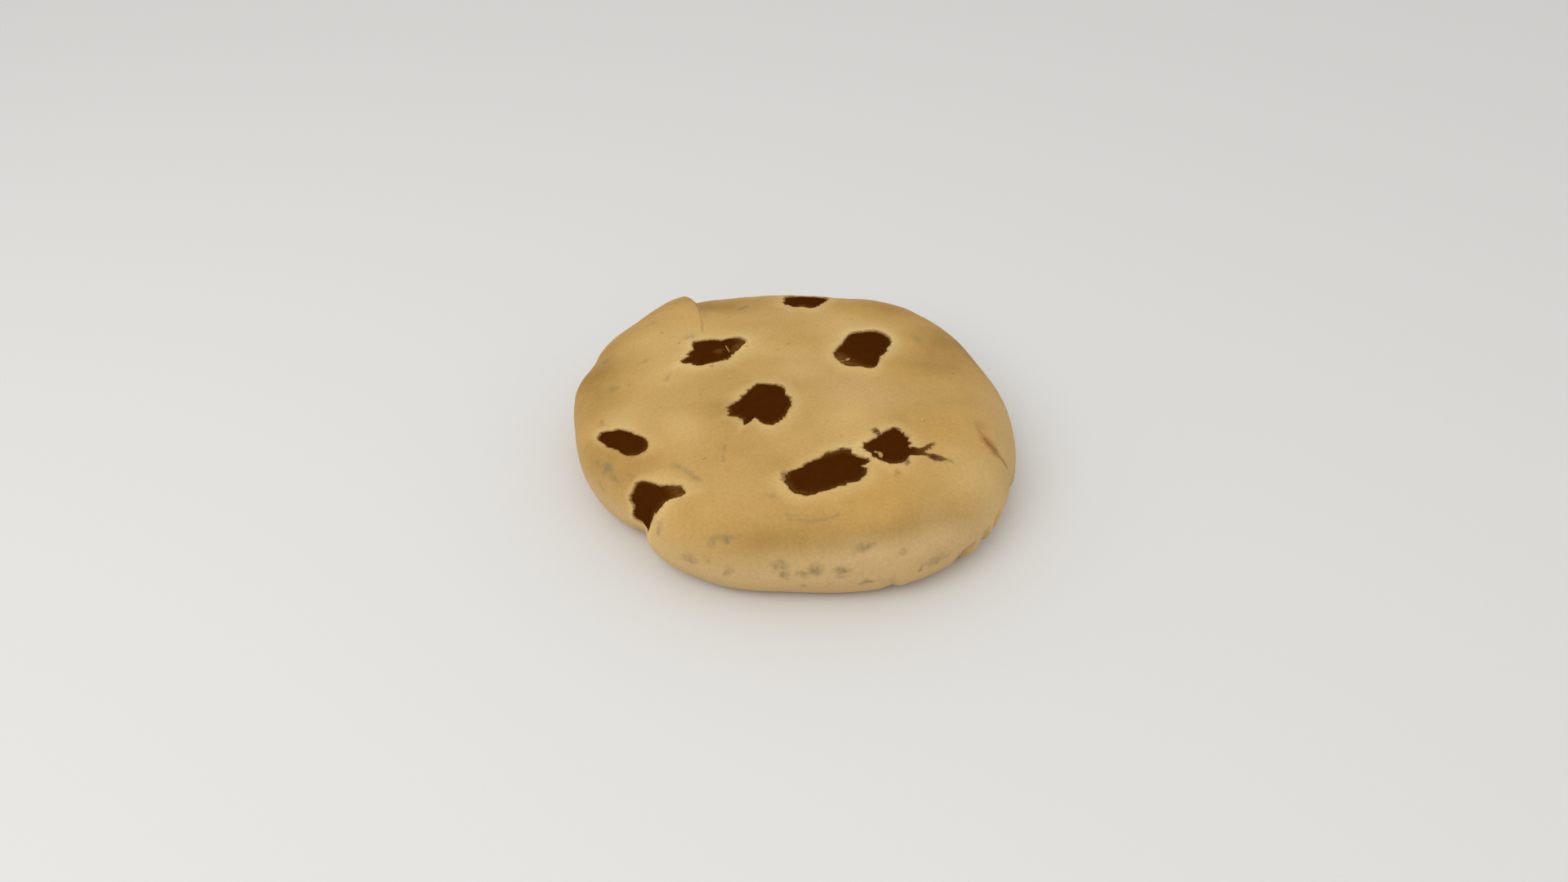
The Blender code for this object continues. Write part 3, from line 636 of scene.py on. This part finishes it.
def marks_at(bearing, run, points):
    """The lines and dents together: how deep they lie, how grey with painted shade, and how rusty they are.
    """
    depth, grey, rust = np.zeros((3, len(points)))
    bend = np.stack([soft_noise(points, WARP_SIZE, seed) for seed in WARP_SEEDS], -1) * WARP_REACH
    bent = points + LINE_WARP * np.pad(bend, ((0, 0), (0, 1)))
    streaks = STREAK_MEAN + STREAK_SWING * soft_noise(points, STREAK_SIZE)
    for line in LINES:
        close = line_closeness(line, bent)
        depth += line.depth * close
        grey = np.maximum(grey, line.grey * close * streaks)
        rust = np.maximum(rust, line.rust * close * streaks)
    turned = bearing + np.degrees(bend[:, 0] / np.maximum(run, MIDDLE_RUN))
    for shaded_mark in SHADED_DENTS + back_dents():
        close = dent_closeness(shaded_mark, turned, run + bend[:, 1], points)
        depth += DENT_DEPTH * shaded_mark.strength * close
        grey = np.maximum(grey, shaded_mark.strength * ramp(*DENT_SHADE_EDGE, close * streaks))
    return depth, grey, rust


def shoulder_share(bearing):
    return bell(degrees_past(bearing, SHOULDER_BEARING), SHOULDER_SPREAD)


def patch_tints(points, bearing, run):
    """The tone and dullness of the patches, the bands and the shoulder together. The patches' tone is partly
    painted light and shade, and the shoulder's is painted shade.
    """
    dull = np.zeros(len(points))
    tone = SHOULDER_SHADE_TONE * shoulder_share(bearing) * bell(run - SHOULDER_RUN, SHOULDER_HALF_TALL)
    tone += BAND_TONE * strokes_at(points, BAND_SIZE, BAND_SEED)
    for patch in PATCHES:
        close = spot_closeness(patch, points)
        tone += patch.tone * close
        dull += patch.dull * close
    above = ramp(0.0, WAIST_HEIGHT, points[:, 2])
    return tone * above, dull * above


def chunk_stain(chunks, offs, points):
    """1 in a pocket, and outside it chocolate drawn into the dough in short strokes that run along X."""
    strokes = STROKE_REACH * np.maximum(strokes_at(points, STROKE_SIZE, STAIN_SEED), 0)
    rims = [STAIN_SPREAD + chunk.rag * strokes for chunk in chunks]
    return np.max([1 - ramp(-STAIN_EDGE, rim, off) for rim, off in zip(rims, offs)], axis=0)


def blots_at(blots, points):
    """How strong the blots are at each point, blotchy and frayed along X."""
    fray = BLOT_FRAY * np.stack([strokes_at(points, STROKE_SIZE, seed) for seed in FRAY_SEEDS], -1)
    coat = np.zeros(len(points))
    for blot in blots:
        apart = points[:, :2] + fray - (blot.x, blot.y)
        lean = math.radians(blot.lean)
        along = (apart @ (math.cos(lean), math.sin(lean))) / blot.half_length
        across = (apart @ (-math.sin(lean), math.cos(lean))) / blot.half_width
        coat += blot.coat * (1 - ramp(*BLOT_EDGE, np.hypot(along, across)))
    return np.clip(coat, 0, 1) * (points[:, 2] > WAIST_HEIGHT)


def on_disc(squares):
    """Bearings and rings, 0 in the middle and 1 at the edge, for places in a square from -1 to 1."""
    u, v = squares[:, 0], squares[:, 1]
    ring = np.maximum(np.abs(u), np.abs(v))
    safe = np.maximum(ring, TINY)
    beside = np.abs(u) >= np.abs(v)
    flank = np.where(beside, v / safe * np.sign(u), -u / safe * np.sign(v))
    side = np.where(beside, np.where(u >= 0, 0, 180), np.where(v >= 0, 90, 270))
    return (side + 45 * flank + GRID_TURN) % 360, ring


def top_surface(squares, sizes):
    """The points of the dough's top and side, and their tints."""
    bearing, ring = on_disc(squares)
    run = ring * FULL_RUN
    points = plain_point(bearing, run)
    normals = plain_normal(bearing, run)
    fade = ramp(0.0, TUCK_FADE, points[:, 2])
    smooth = broad_relief(bearing, run, points) + crisp_relief(bearing, run, points)
    settled = points + normals * (smooth * fade)[:, None]
    offs = chunk_offs(CHUNKS, settled)
    nearest = offs.min(0)
    depth, grey, rust = marks_at(bearing, run, points)
    crumbly = sum(share * soft_noise(points, size, seed) for size, share, seed in CRUMB_NOISE)
    rise = smooth + LIP_RISE * bell(nearest, LIP_WIDTH) - depth + sizes.crumb_rise / MM * crumbly
    tone, dull = patch_tints(points, bearing, run)
    lift = SHOULDER_LIFT * shoulder_share(bearing)
    tints = {
        # baked and pale carry the tone above, which is partly painted light and shade; pale also carries the
        # painted highlight round each chunk, and side is partly painted light on the side.
        "baked": -tone,
        "pale": tone + LIP_HIGHLIGHT_STRENGTH * bell(np.maximum(nearest, 0), LIP_HIGHLIGHT_WIDTH),
        "side": dull + ramp(*SIDE_RUNS, run + lift),
        "gold": -dull,
        "grey": grey,
        "rust": rust,
        "cocoa": np.maximum(chunk_stain(CHUNKS, offs, points), blots_at(BLOTS, points)),
        "under": 1 - ramp(*UNDER_HEIGHTS, points[:, 2]),
    }
    placed = points + normals * (rise * fade - pocket_drop(nearest))[:, None]
    inwards = crag_drop(bearing, run) / np.hypot(*points[:, :2].T).clip(TINY)
    placed[:, :2] -= inwards[:, None] * points[:, :2]
    return placed, tints


def base_surface(squares, sizes):
    """The points of the flat underside, and their tints."""
    bearing, ring = on_disc(squares)
    nicks = crag_drop(bearing, FULL_RUN) * ramp(*CRAG_BASE_SHARES, ring)
    distance = ((reach_at(OUTLINE, bearing) - BASE_TUCK) * ring - nicks) * BASE_SHARE
    points = polar(distance, bearing, np.zeros(len(ring)))
    offs = chunk_offs(UNDER_CHUNKS, points)
    pores = sum(np.maximum(soft_noise(points, size, seed), 0) for size, seed in PORE_NOISE)
    height = PORE_RISE * sizes.crumb_rise / MM * pores * (1 - ramp(*PORE_RIM, ring))
    points[:, 2] = height + pocket_drop(offs.min(0))
    blank = np.zeros(len(ring))
    tints = dict.fromkeys(("pale", "side", "gold", "grey", "rust"), blank)
    cocoa = chunk_stain(UNDER_CHUNKS, offs, points)
    tints.update(baked=PORE_TONE * pores, cocoa=cocoa, under=blank + 1)
    return points, tints


# ---- Meshes and materials ----


def srgb(red, green, blue):
    """A colour as a screen shows it, 0 to 255, in Blender's linear numbers."""
    shares = (value / 255 for value in (red, green, blue))
    return tuple(s / 12.92 if s <= 0.04045 else ((s + 0.055) / 1.055) ** 2.4 for s in shares)


def new_piece(name, builder, material, tints=None):
    """An object from a bmesh in millimetres, at the origin, with its tints as attributes."""
    bmesh.ops.scale(builder, vec=(MM, MM, MM), verts=builder.verts)
    bmesh.ops.recalc_face_normals(builder, faces=builder.faces)
    mesh = bpy.data.meshes.new(name)
    builder.to_mesh(mesh)
    builder.free()
    mesh.shade_smooth()
    for tint, values in (tints or {}).items():
        layer = mesh.attributes.new(tint, "FLOAT", "POINT")
        layer.data.foreach_set("value", np.clip(values, 0, 1).astype(np.float32))
    mesh.materials.append(material)
    piece = bpy.data.objects.new(name, mesh)
    bpy.context.scene.collection.objects.link(piece)
    return piece


# Noise in a material lies mostly between these.
NOISE_LOW = 0.3
NOISE_HIGH = 0.7
# The place of the colour among a Mix node's outputs.
MIXED_COLOUR = 2


class Recipe:
    """A material under construction: each call adds a node and links what it is given."""

    def __init__(self, name):
        self.material = bpy.data.materials.new(name)
        self.material.use_nodes = True
        self.tree = self.material.node_tree
        self.shader = self.tree.nodes["Principled BSDF"]

    def fill(self, socket, value):
        if isinstance(value, bpy.types.NodeSocket):
            self.tree.links.new(value, socket)
        else:
            socket.default_value = (*value, 1.0) if socket.type == "RGBA" else value

    def add(self, kind, inputs, output=0, **settings):
        """Adds a node, and gives its output of that name or place."""
        node = self.tree.nodes.new("ShaderNode" + kind)
        for key, value in settings.items():
            setattr(node, key, value)
        for key, value in inputs.items():
            self.fill(node.inputs[key], value)
        return node.outputs[output]

    def tint(self, name):
        return self.add("Attribute", {}, "Fac", attribute_name=name)

    def noise(self, size, detail, roughness=0.5, stretch=1.0):
        """Noise over Object coordinates, with lumps of about that size in millimetres, stretched along X."""
        place = self.add("TexCoord", {}, "Object")
        place = self.add("VectorMath", {0: place, 1: (1 / stretch, 1, 1)}, operation="MULTIPLY")
        inputs = {"Vector": place, "Scale": 1 / (size * MM), "Detail": detail, "Roughness": roughness}
        return self.add("TexNoise", inputs)

    def grain(self, low, high, **looks):
        """Noise spread from low to high."""
        inputs = {"From Min": NOISE_LOW, "From Max": NOISE_HIGH, "To Min": low, "To Max": high}
        return self.add("MapRange", {"Value": self.noise(**looks), **inputs})

    def bump(self, strength, distance, **looks):
        """Noise that stands out by that many millimetres."""
        inputs = {"Height": self.noise(**looks), "Strength": strength, "Distance": distance * MM}
        return self.add("Bump", inputs)

    def maths(self, operation, first, second):
        return self.add("Math", {0: first, 1: second}, operation=operation)

    def blend(self, factor, first, second, how="MIX"):
        settings = {"data_type": "RGBA", "blend_type": how, "clamp_factor": True}
        mixed = self.add("Mix", {"Factor": factor}, MIXED_COLOUR, **settings)
        for socket, colour in zip([s for s in mixed.node.inputs if s.type == "RGBA"], (first, second)):
            self.fill(socket, colour)
        return mixed

    def finish(self, colour, normal, roughness, specular):
        names = ("Base Color", "Normal", "Roughness", "Specular IOR Level")
        for name, value in zip(names, (colour, normal, roughness, specular)):
            self.fill(self.shader.inputs[name], value)
        return self.material


def dough_material(colours):
    recipe = Recipe("baked_dough")
    mottle = recipe.grain(low=-0.12, high=0.12, size=3.2, detail=4.0)
    # The browner and paler tints carry painted light and shade besides the bake's tone; pale also carries
    # the painted highlight round the chunks, and side is partly painted light.
    colour = recipe.blend(recipe.maths("ADD", recipe.tint("baked"), mottle), colours.dough, colours.baked)
    for tint in ("gold", "side", "pale", "under"):
        colour = recipe.blend(recipe.tint(tint), colour, getattr(colours, tint))
    # The grey marks are painted shade in the cracks, creases and dents, partly chocolate under the surface
    # in the dents.
    blotchy = recipe.grain(low=0.4, high=1.3, size=0.5, detail=4.0, roughness=0.6)
    colour = recipe.blend(recipe.maths("MULTIPLY", recipe.tint("grey"), blotchy), colour, colours.shaded_mark)
    colour = recipe.blend(recipe.tint("rust"), colour, colours.rust)
    streaky = recipe.grain(low=1.2, high=2.8, size=0.25, detail=1.0, stretch=STROKE_STRETCH)
    cocoa = recipe.maths("MULTIPLY", recipe.tint("cocoa"), streaky)
    colour = recipe.blend(cocoa, colour, colours.stain)
    colour = recipe.blend(recipe.maths("SUBTRACT", cocoa, 1.0), colour, colours.chocolate)
    speck = recipe.grain(low=0.93, high=1.07, size=0.45, detail=3.0, roughness=0.6)
    specks = recipe.add("CombineXYZ", {0: speck, 1: speck, 2: speck})
    crumb = recipe.bump(strength=0.35, distance=0.12, size=0.6, detail=5.0, roughness=0.65)
    colour = recipe.blend(1.0, colour, specks, "MULTIPLY")
    return recipe.finish(colour, crumb, roughness=0.82, specular=0.25)


def chocolate_material(colours):
    recipe = Recipe("dark_chocolate")
    bloom = recipe.grain(low=0.0, high=0.5, size=1.4, detail=4.0, roughness=0.6)
    colour = recipe.blend(bloom, colours.chocolate, colours.bloom)
    # The thin chocolate and the painted highlights on the chunks are browner and lighter.
    colour = recipe.blend(recipe.tint("thin"), colour, colours.stain)
    rough = recipe.grain(low=0.42, high=0.6, size=0.7, detail=3.0)
    grit = recipe.bump(strength=0.4, distance=0.08, size=0.5, detail=4.0, roughness=0.6)
    return recipe.finish(colour, grit, rough, specular=0.0)


def crumb_material(colours):
    recipe = Recipe("loose_crumb")
    patchy = recipe.grain(low=0.0, high=0.8, size=0.5, detail=3.0)
    colour = recipe.blend(patchy, colours.pale, colours.baked)
    colour = recipe.blend(recipe.tint("cocoa"), colour, colours.stain)
    grit = recipe.bump(strength=0.4, distance=0.06, size=0.25, detail=4.0)
    return recipe.finish(colour, grit, roughness=0.85, specular=0.25)


def finish_for(name, maker, colours):
    """The material of that name, made on its first use."""
    return bpy.data.materials.get(name) or maker(colours)


# ---- Pieces ----


def refine_marks(builder, tints):
    """Halves the grid wherever the dough has a mark or the edge of a stain."""
    edge = np.minimum(tints["cocoa"], 1 - tints["cocoa"])
    marked = np.maximum(edge, np.maximum(tints["grey"], tints["rust"])) > FINE_MARK
    builder.verts.index_update()
    edges = [e for e in builder.edges if marked[e.verts[0].index] or marked[e.verts[1].index]]
    bmesh.ops.subdivide_edges(builder, edges=edges, cuts=1, use_grid_fill=True)


def close_base(builder, top_rim, base_rim):
    """A strip of triangles between the two rims. Both are walked round by their angle about the middle."""
    walks = []
    for rim in (top_rim, base_rim):
        turned = sorted((math.atan2(v.co.y, v.co.x), i) for i, v in enumerate(rim))
        first = turned[0]
        walks.append([(angle, rim[i]) for angle, i in turned + [(first[0] + math.tau, first[1])]])
    outer, inner = walks
    i = j = 0
    while i < len(outer) - 1 or j < len(inner) - 1:
        ahead = outer[i + 1][0] if i < len(outer) - 1 else math.inf
        if j == len(inner) - 1 or ahead <= inner[j + 1][0]:
            builder.faces.new((outer[i][1], outer[i + 1][1], inner[j][1]))
            i += 1
        else:
            builder.faces.new((outer[i][1], inner[j + 1][1], inner[j][1]))
            j += 1


def dough_piece(sizes, colours):
    """A square grid wrapped over the dome and side, and a second one for the underside, joined to it."""
    builder = bmesh.new()
    bmesh.ops.create_grid(builder, x_segments=TOP_GRID, y_segments=TOP_GRID, size=1.0)
    refine_marks(builder, top_surface(np.array([v.co[:2] for v in builder.verts]), sizes)[1])
    top = list(builder.verts)
    top_places, top_tints = top_surface(np.array([v.co[:2] for v in top]), sizes)
    base = bmesh.ops.create_grid(builder, x_segments=BASE_GRID, y_segments=BASE_GRID, size=1.0)["verts"]
    base_places, base_tints = base_surface(np.array([v.co[:2] for v in base]), sizes)
    for vertex, place in zip(top + base, np.concatenate([top_places, base_places])):
        vertex.co = place
    rims = [[v for v in grid if v.is_boundary] for grid in (top, base)]
    for vertex in rims[0] + rims[1]:
        vertex.co.z = 0.0
    close_base(builder, *rims)
    tints = {name: np.concatenate([top_tints[name], base_tints[name]]) for name in top_tints}
    return new_piece("baked_dough", builder, finish_for("baked_dough", dough_material, colours), tints)


def chunk_piece(chunk, colours):
    """A ball pressed to a lozenge with a crowned, lumpy top and a ragged edge."""
    builder = bmesh.new()
    bmesh.ops.create_uvsphere(builder, u_segments=CHUNK_SPOKES, v_segments=CHUNK_BANDS, radius=1.0)
    aside, onward, up = np.array([v.co for v in builder.verts]).T
    turn = np.arctan2(onward, aside)
    power = 2 / CHUNK_BOXINESS
    belt = np.minimum(np.hypot(aside, onward), 1)
    share = belt**power
    reach = ragged_reach(chunk, np.degrees(turn)) * share
    x, y = reach * np.cos(turn), reach * np.sin(turn)
    height = np.sign(up) * np.where(up > 0, chunk.crown, chunk.keel) * np.abs(up) ** power
    flat = np.stack([x, y, 0 * x], -1)
    lumps = CHUNK_LUMP_RISE * soft_noise(flat, CHUNK_LUMP_SIZE, seed_of(chunk))
    height += lumps * (up > 0) * (1 - belt**CHUNK_LUMP_FADE) + sag_terms(x, y) @ chunk_sag(chunk)
    spots = moved(np.stack([x, y, height], -1), chunk_frame(chunk))
    for vertex, spot in zip(builder.verts, spots):
        vertex.co = spot
    uneven = 1 + strokes_at(flat, STROKE_SIZE, seed_of(chunk))
    # Thin chocolate at the edge and towards the fades, with the painted highlights on the tops.
    film_and_highlight = np.maximum(EDGE_FILM * ramp(*EDGE_SHARES, share) * uneven, blots_at(CHUNK_HIGHLIGHTS, spots))
    for fade in chunk.fades:
        towards = np.maximum(np.cos(turn - math.radians(fade)), 0) ** FADE_FOCUS
        film_and_highlight = np.maximum(film_and_highlight, FADE_FILM * uneven * ramp(*FADE_SHARES, share * towards))
    material = finish_for("dark_chocolate", chocolate_material, colours)
    return new_piece("chunk_" + chunk.name, builder, material, {"thin": film_and_highlight})


def surface_finder(pieces):
    """A function that gives the height and normal of the highest surface over x, y, in millimetres."""
    trees = [BVHTree.FromObject(piece, bpy.context.evaluated_depsgraph_get()) for piece in pieces]

    def find(x, y):
        start = Vector((x * MM, y * MM, 2 * THICKNESS * MM))
        hits = [tree.ray_cast(start, Vector((0, 0, -1))) for tree in trees]
        hit = min((h for h in hits if h[0] is not None), key=lambda h: h[3])
        return hit[0] / MM, hit[1]

    return find


def finger_into(builder, finger, find):
    """One tapering finger of melted chocolate, laid over the surface."""
    ball = bmesh.ops.create_uvsphere(builder, u_segments=FINGER_SPOKES, v_segments=FINGER_BANDS, radius=1.0)
    stations = np.array(finger)
    lengths = np.append(0, np.cumsum(np.linalg.norm(np.diff(stations[:, :2], axis=0), axis=1)))

    def station_at(length):
        return [float(np.interp(length, lengths, column)) for column in stations.T]

    for vertex in ball["verts"]:
        length = (vertex.co.z + 1) / 2 * lengths[-1]
        x, y, half_width = station_at(length)
        ahead, behind = station_at(length + FINGER_LOOK), station_at(length - FINGER_LOOK)
        way = Vector((ahead[0] - behind[0], ahead[1] - behind[1], 0)).normalized()
        girth = math.hypot(vertex.co.x, vertex.co.y)
        round_off = min(1.0, girth * FINGER_ROUND)
        side, up = vertex.co.x / max(girth, TINY), vertex.co.y / max(girth, TINY)
        wave = 1 + FINGER_WAVE * noise.noise(Vector((x, y, FINGER_SEED)) * FINGER_WAVES)
        spread = side * half_width * round_off * wave
        spot, normal = find(x - way.y * spread, y + way.x * spread)
        vertex.co = spot + normal * (up * FINGER_THICK * round_off - FINGER_SINK)


def smear_piece(colours, find):
    """The melted chocolate that runs out of the right chunk."""
    builder = bmesh.new()
    for finger in FINGERS:
        finger_into(builder, finger, find)
    root = FINGERS[0][0]
    away = np.array([math.hypot(v.co.x - root[0], v.co.y - root[1]) for v in builder.verts])
    material = finish_for("dark_chocolate", chocolate_material, colours)
    return new_piece("melted_smear", builder, material, {"thin": ramp(*SMEAR_FADE, away)})


def crumb_into(builder, crumb, find, draw):
    """One irregular crumb, half sunk in what it lies on."""
    ball = bmesh.ops.create_icosphere(builder, subdivisions=3, radius=1.0)
    spot, normal = find(crumb.x, crumb.y)
    seed = Vector([draw.uniform(0, CRUMB_SHIFT) for _ in range(3)])
    half = Vector((crumb.length, crumb.width, CRUMB_TALL * crumb.width)) / 2
    along = (Vector((1, 0, 0)) - normal * normal.x).normalized()
    axes = Matrix((along, normal.cross(along), normal)).transposed()
    lie = axes @ Matrix.Rotation(math.radians(crumb.turn), 3, "Z")
    for vertex in ball["verts"]:
        swell = sum((share * noise.noise(vertex.co * waves + seed) for waves, share in CRUMB_SWELLS), 1)
        vertex.co = spot + lie @ (vertex.co * half * swell) + normal * CRUMB_RISE * crumb.width
    return [crumb.coat] * len(ball["verts"])


def crumbs_piece(colours, find):
    """The crumbs on the chunks, and a few on the dough."""
    builder = bmesh.new()
    draw = random.Random(DRAWN_CRUMB_SEED)
    coats = []
    for crumb in CRUMBS:
        coats += crumb_into(builder, crumb, find, draw)
    made = 0
    while made < DRAWN_CRUMBS:
        turn, reach = draw.uniform(0, math.tau), DRAWN_CRUMB_REACH * math.sqrt(draw.random())
        length = draw.uniform(*DRAWN_CRUMB_SIZES)
        x, y = reach * math.cos(turn), reach * math.sin(turn)
        crumb = Crumb(x, y, length, DRAWN_CRUMB_WIDTH * length, draw.uniform(0, 180), 0.0)
        spot = np.array([find(crumb.x, crumb.y)[0]])
        if chunk_offs(CHUNKS, spot).min() > DRAWN_CRUMB_CLEAR:
            coats += crumb_into(builder, crumb, find, draw)
            made += 1
    return new_piece("crumbs", builder, finish_for("loose_crumb", crumb_material, colours), {"cocoa": coats})


# ---- The add-on ----


def size_prop(name, description, default, **limits):
    return bpy.props.FloatProperty(name=name, description=description, default=default, **limits)


class CookieSizes(bpy.types.PropertyGroup):
    """Sizes that a user would change."""

    crumb_rise: size_prop(
        "Crumb height", "How far the dough's fine crumb stands out", 0.05 * MM, min=0.0, unit="LENGTH",
    )
    floor_radius: size_prop("Floor radius", "Half the width of the floor", 2.0, min=0.2, unit="LENGTH")
    camera_distance: size_prop(
        "Camera distance", "From the camera to the cookie's middle", 0.1738, min=0.1, unit="LENGTH",
    )
    camera_elevation: size_prop(
        "Camera elevation", "How far the camera looks down", math.radians(37.35), subtype="ANGLE",
    )
    key_power: size_prop("Key light", "Power of the large soft light", 0.8, min=0.0, unit="POWER")
    sky_strength: size_prop("Even light", "Strength of the even light from all round", 0.75, min=0.0)


def colour_prop(name, *screen):
    """A colour that starts as the given red, green and blue, 0 to 255 as a screen shows them."""
    return bpy.props.FloatVectorProperty(name=name, subtype="COLOR", min=0.0, max=1.0, default=srgb(*screen))


class CookieColours(bpy.types.PropertyGroup):
    """Colours that a user would change."""

    dough: colour_prop("Golden dough", 193, 154, 88)
    gold: colour_prop("More golden patches", 198, 154, 76)
    # Browner and paler patches are partly the bake's own tone and partly painted light and shade; the pale
    # round the chunks is a painted highlight, and the paler side is partly painted light.
    baked: colour_prop("Browner patches", 160, 122, 58)
    pale: colour_prop("Paler patches, and dough round the chunks", 218, 184, 120)
    side: colour_prop("Paler, less golden side", 201, 168, 115)
    # Painted shade in the cracks, creases and dents, partly chocolate under the surface in the dents.
    shaded_mark: colour_prop("Grey marks", 140, 121, 82)
    rust: colour_prop("Orange brown edge of a crack", 160, 92, 26)
    stain: colour_prop("Stained dough and thin chocolate", 112, 74, 30)
    under: colour_prop("Browner underside", 168, 122, 62)
    chocolate: colour_prop("Dark chocolate", 68, 31, 4)
    bloom: colour_prop("Duller chocolate", 76, 38, 7)
    floor: colour_prop("Pale floor", 226, 225, 222)


class CookieOperator:
    bl_options = {"REGISTER", "UNDO"}

    def execute(self, context):
        self.make(context.scene)
        return {"FINISHED"}


class COOKIE_OT_dough(CookieOperator, bpy.types.Operator):
    """Makes the fine dough in place of its solid"""

    bl_idname = "cookie.dough"
    bl_label = "Baked dough"

    def make(self, scene):
        piece = dough_piece(scene.cookie_sizes, scene.cookie_colours)
        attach(piece, "root")
        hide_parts("dough")


class COOKIE_OT_chunks(CookieOperator, bpy.types.Operator):
    """Makes each chunk of chocolate in place of its solid"""

    bl_idname = "cookie.chunks"
    bl_label = "Chocolate chunks"

    def make(self, scene):
        for chunk in CHUNKS + UNDER_CHUNKS:
            piece = chunk_piece(chunk, scene.cookie_colours)
            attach(piece, "root")
            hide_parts("chip_" + chunk.name)


class COOKIE_OT_smear(CookieOperator, bpy.types.Operator):
    """Makes the melted chocolate that runs out of the right chunk"""

    bl_idname = "cookie.smear"
    bl_label = "Melted smear"

    def make(self, scene):
        find = surface_finder([bpy.data.objects["baked_dough"]])
        piece = smear_piece(scene.cookie_colours, find)
        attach(piece, "root")


class COOKIE_OT_crumbs(CookieOperator, bpy.types.Operator):
    """Scatters the loose crumbs"""

    bl_idname = "cookie.crumbs"
    bl_label = "Crumbs"

    def make(self, scene):
        names = ["baked_dough"] + ["chunk_" + chunk.name for chunk in CHUNKS]
        find = surface_finder([bpy.data.objects[name] for name in names])
        piece = crumbs_piece(scene.cookie_colours, find)
        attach(piece, "root")


class COOKIE_OT_stage(CookieOperator, bpy.types.Operator):
    """Makes the floor, the lights and the camera"""

    bl_idname = "cookie.stage"
    bl_label = "Stage"

    def make(self, scene):
        make_floor(scene)
        make_light(scene)
        make_camera(scene)


class COOKIE_PT_parts(bpy.types.Panel):
    """Lists the cookie's parts in the sidebar"""

    bl_label = "Cookie"
    bl_space_type = "VIEW_3D"
    bl_region_type = "UI"
    bl_category = "Cookie"

    def draw(self, context):
        for group in (context.scene.cookie_sizes, context.scene.cookie_colours):
            for name in group.__annotations__:
                self.layout.prop(group, name)
        for step in STEPS:
            self.layout.operator(step.bl_idname)


def make_floor(scene):
    builder = bmesh.new()
    radius = scene.cookie_sizes.floor_radius / MM
    bmesh.ops.create_circle(builder, cap_ends=True, segments=FLOOR_SIDES, radius=radius)
    bmesh.ops.translate(builder, vec=(0, 0, -FLOOR_GAP / MM), verts=builder.verts)
    recipe = Recipe("pale_floor")
    recipe.fill(recipe.shader.inputs["Base Color"], scene.cookie_colours.floor)
    recipe.fill(recipe.shader.inputs["Roughness"], FLOOR_ROUGHNESS)
    new_piece("floor", builder, recipe.material)


def make_light(scene):
    world = bpy.data.worlds.new("even_light")
    world.use_nodes = True
    backdrop = world.node_tree.nodes["Background"]
    backdrop.inputs["Color"].default_value = (1.0, 1.0, 1.0, 1.0)
    backdrop.inputs["Strength"].default_value = scene.cookie_sizes.sky_strength
    scene.world = world
    lamp = bpy.data.lights.new("key_light", "AREA")
    lamp.shape = "DISK"
    lamp.size = KEY_SIZE
    lamp.energy = scene.cookie_sizes.key_power
    key = bpy.data.objects.new("key_light", lamp)
    key.location = KEY_PLACE
    key.rotation_euler = (AIM - KEY_PLACE).to_track_quat("-Z", "Y").to_euler()
    scene.collection.objects.link(key)
    scene.view_settings.view_transform = "Standard"


def make_camera(scene):
    lens = bpy.data.cameras.new("photo_view")
    lens.lens = LENS
    lens.sensor_width = SENSOR
    lens.clip_start = NEAREST_VIEW
    camera = bpy.data.objects.new("photo_view", lens)
    elevation = scene.cookie_sizes.camera_elevation
    back = Vector((0, -math.cos(elevation), math.sin(elevation)))
    camera.location = AIM + back * scene.cookie_sizes.camera_distance
    camera.rotation_euler = (math.pi / 2 - elevation, 0, 0)
    scene.collection.objects.link(camera)
    scene.camera = camera


STEPS = (COOKIE_OT_dough, COOKIE_OT_chunks, COOKIE_OT_smear, COOKIE_OT_crumbs, COOKIE_OT_stage)
CLASSES = (CookieSizes, CookieColours, *STEPS, COOKIE_PT_parts)


def register():
    for cls in CLASSES:
        bpy.utils.register_class(cls)
    bpy.types.Scene.cookie_sizes = bpy.props.PointerProperty(type=CookieSizes)
    bpy.types.Scene.cookie_colours = bpy.props.PointerProperty(type=CookieColours)


def unregister():
    del bpy.types.Scene.cookie_colours
    del bpy.types.Scene.cookie_sizes
    for cls in reversed(CLASSES):
        bpy.utils.unregister_class(cls)


def main():
    register()
    bpy.ops.cookie.dough()
    bpy.ops.cookie.chunks()
    bpy.ops.cookie.smear()
    bpy.ops.cookie.crumbs()
    bpy.ops.cookie.stage()


if __name__ == "__main__":
    main()
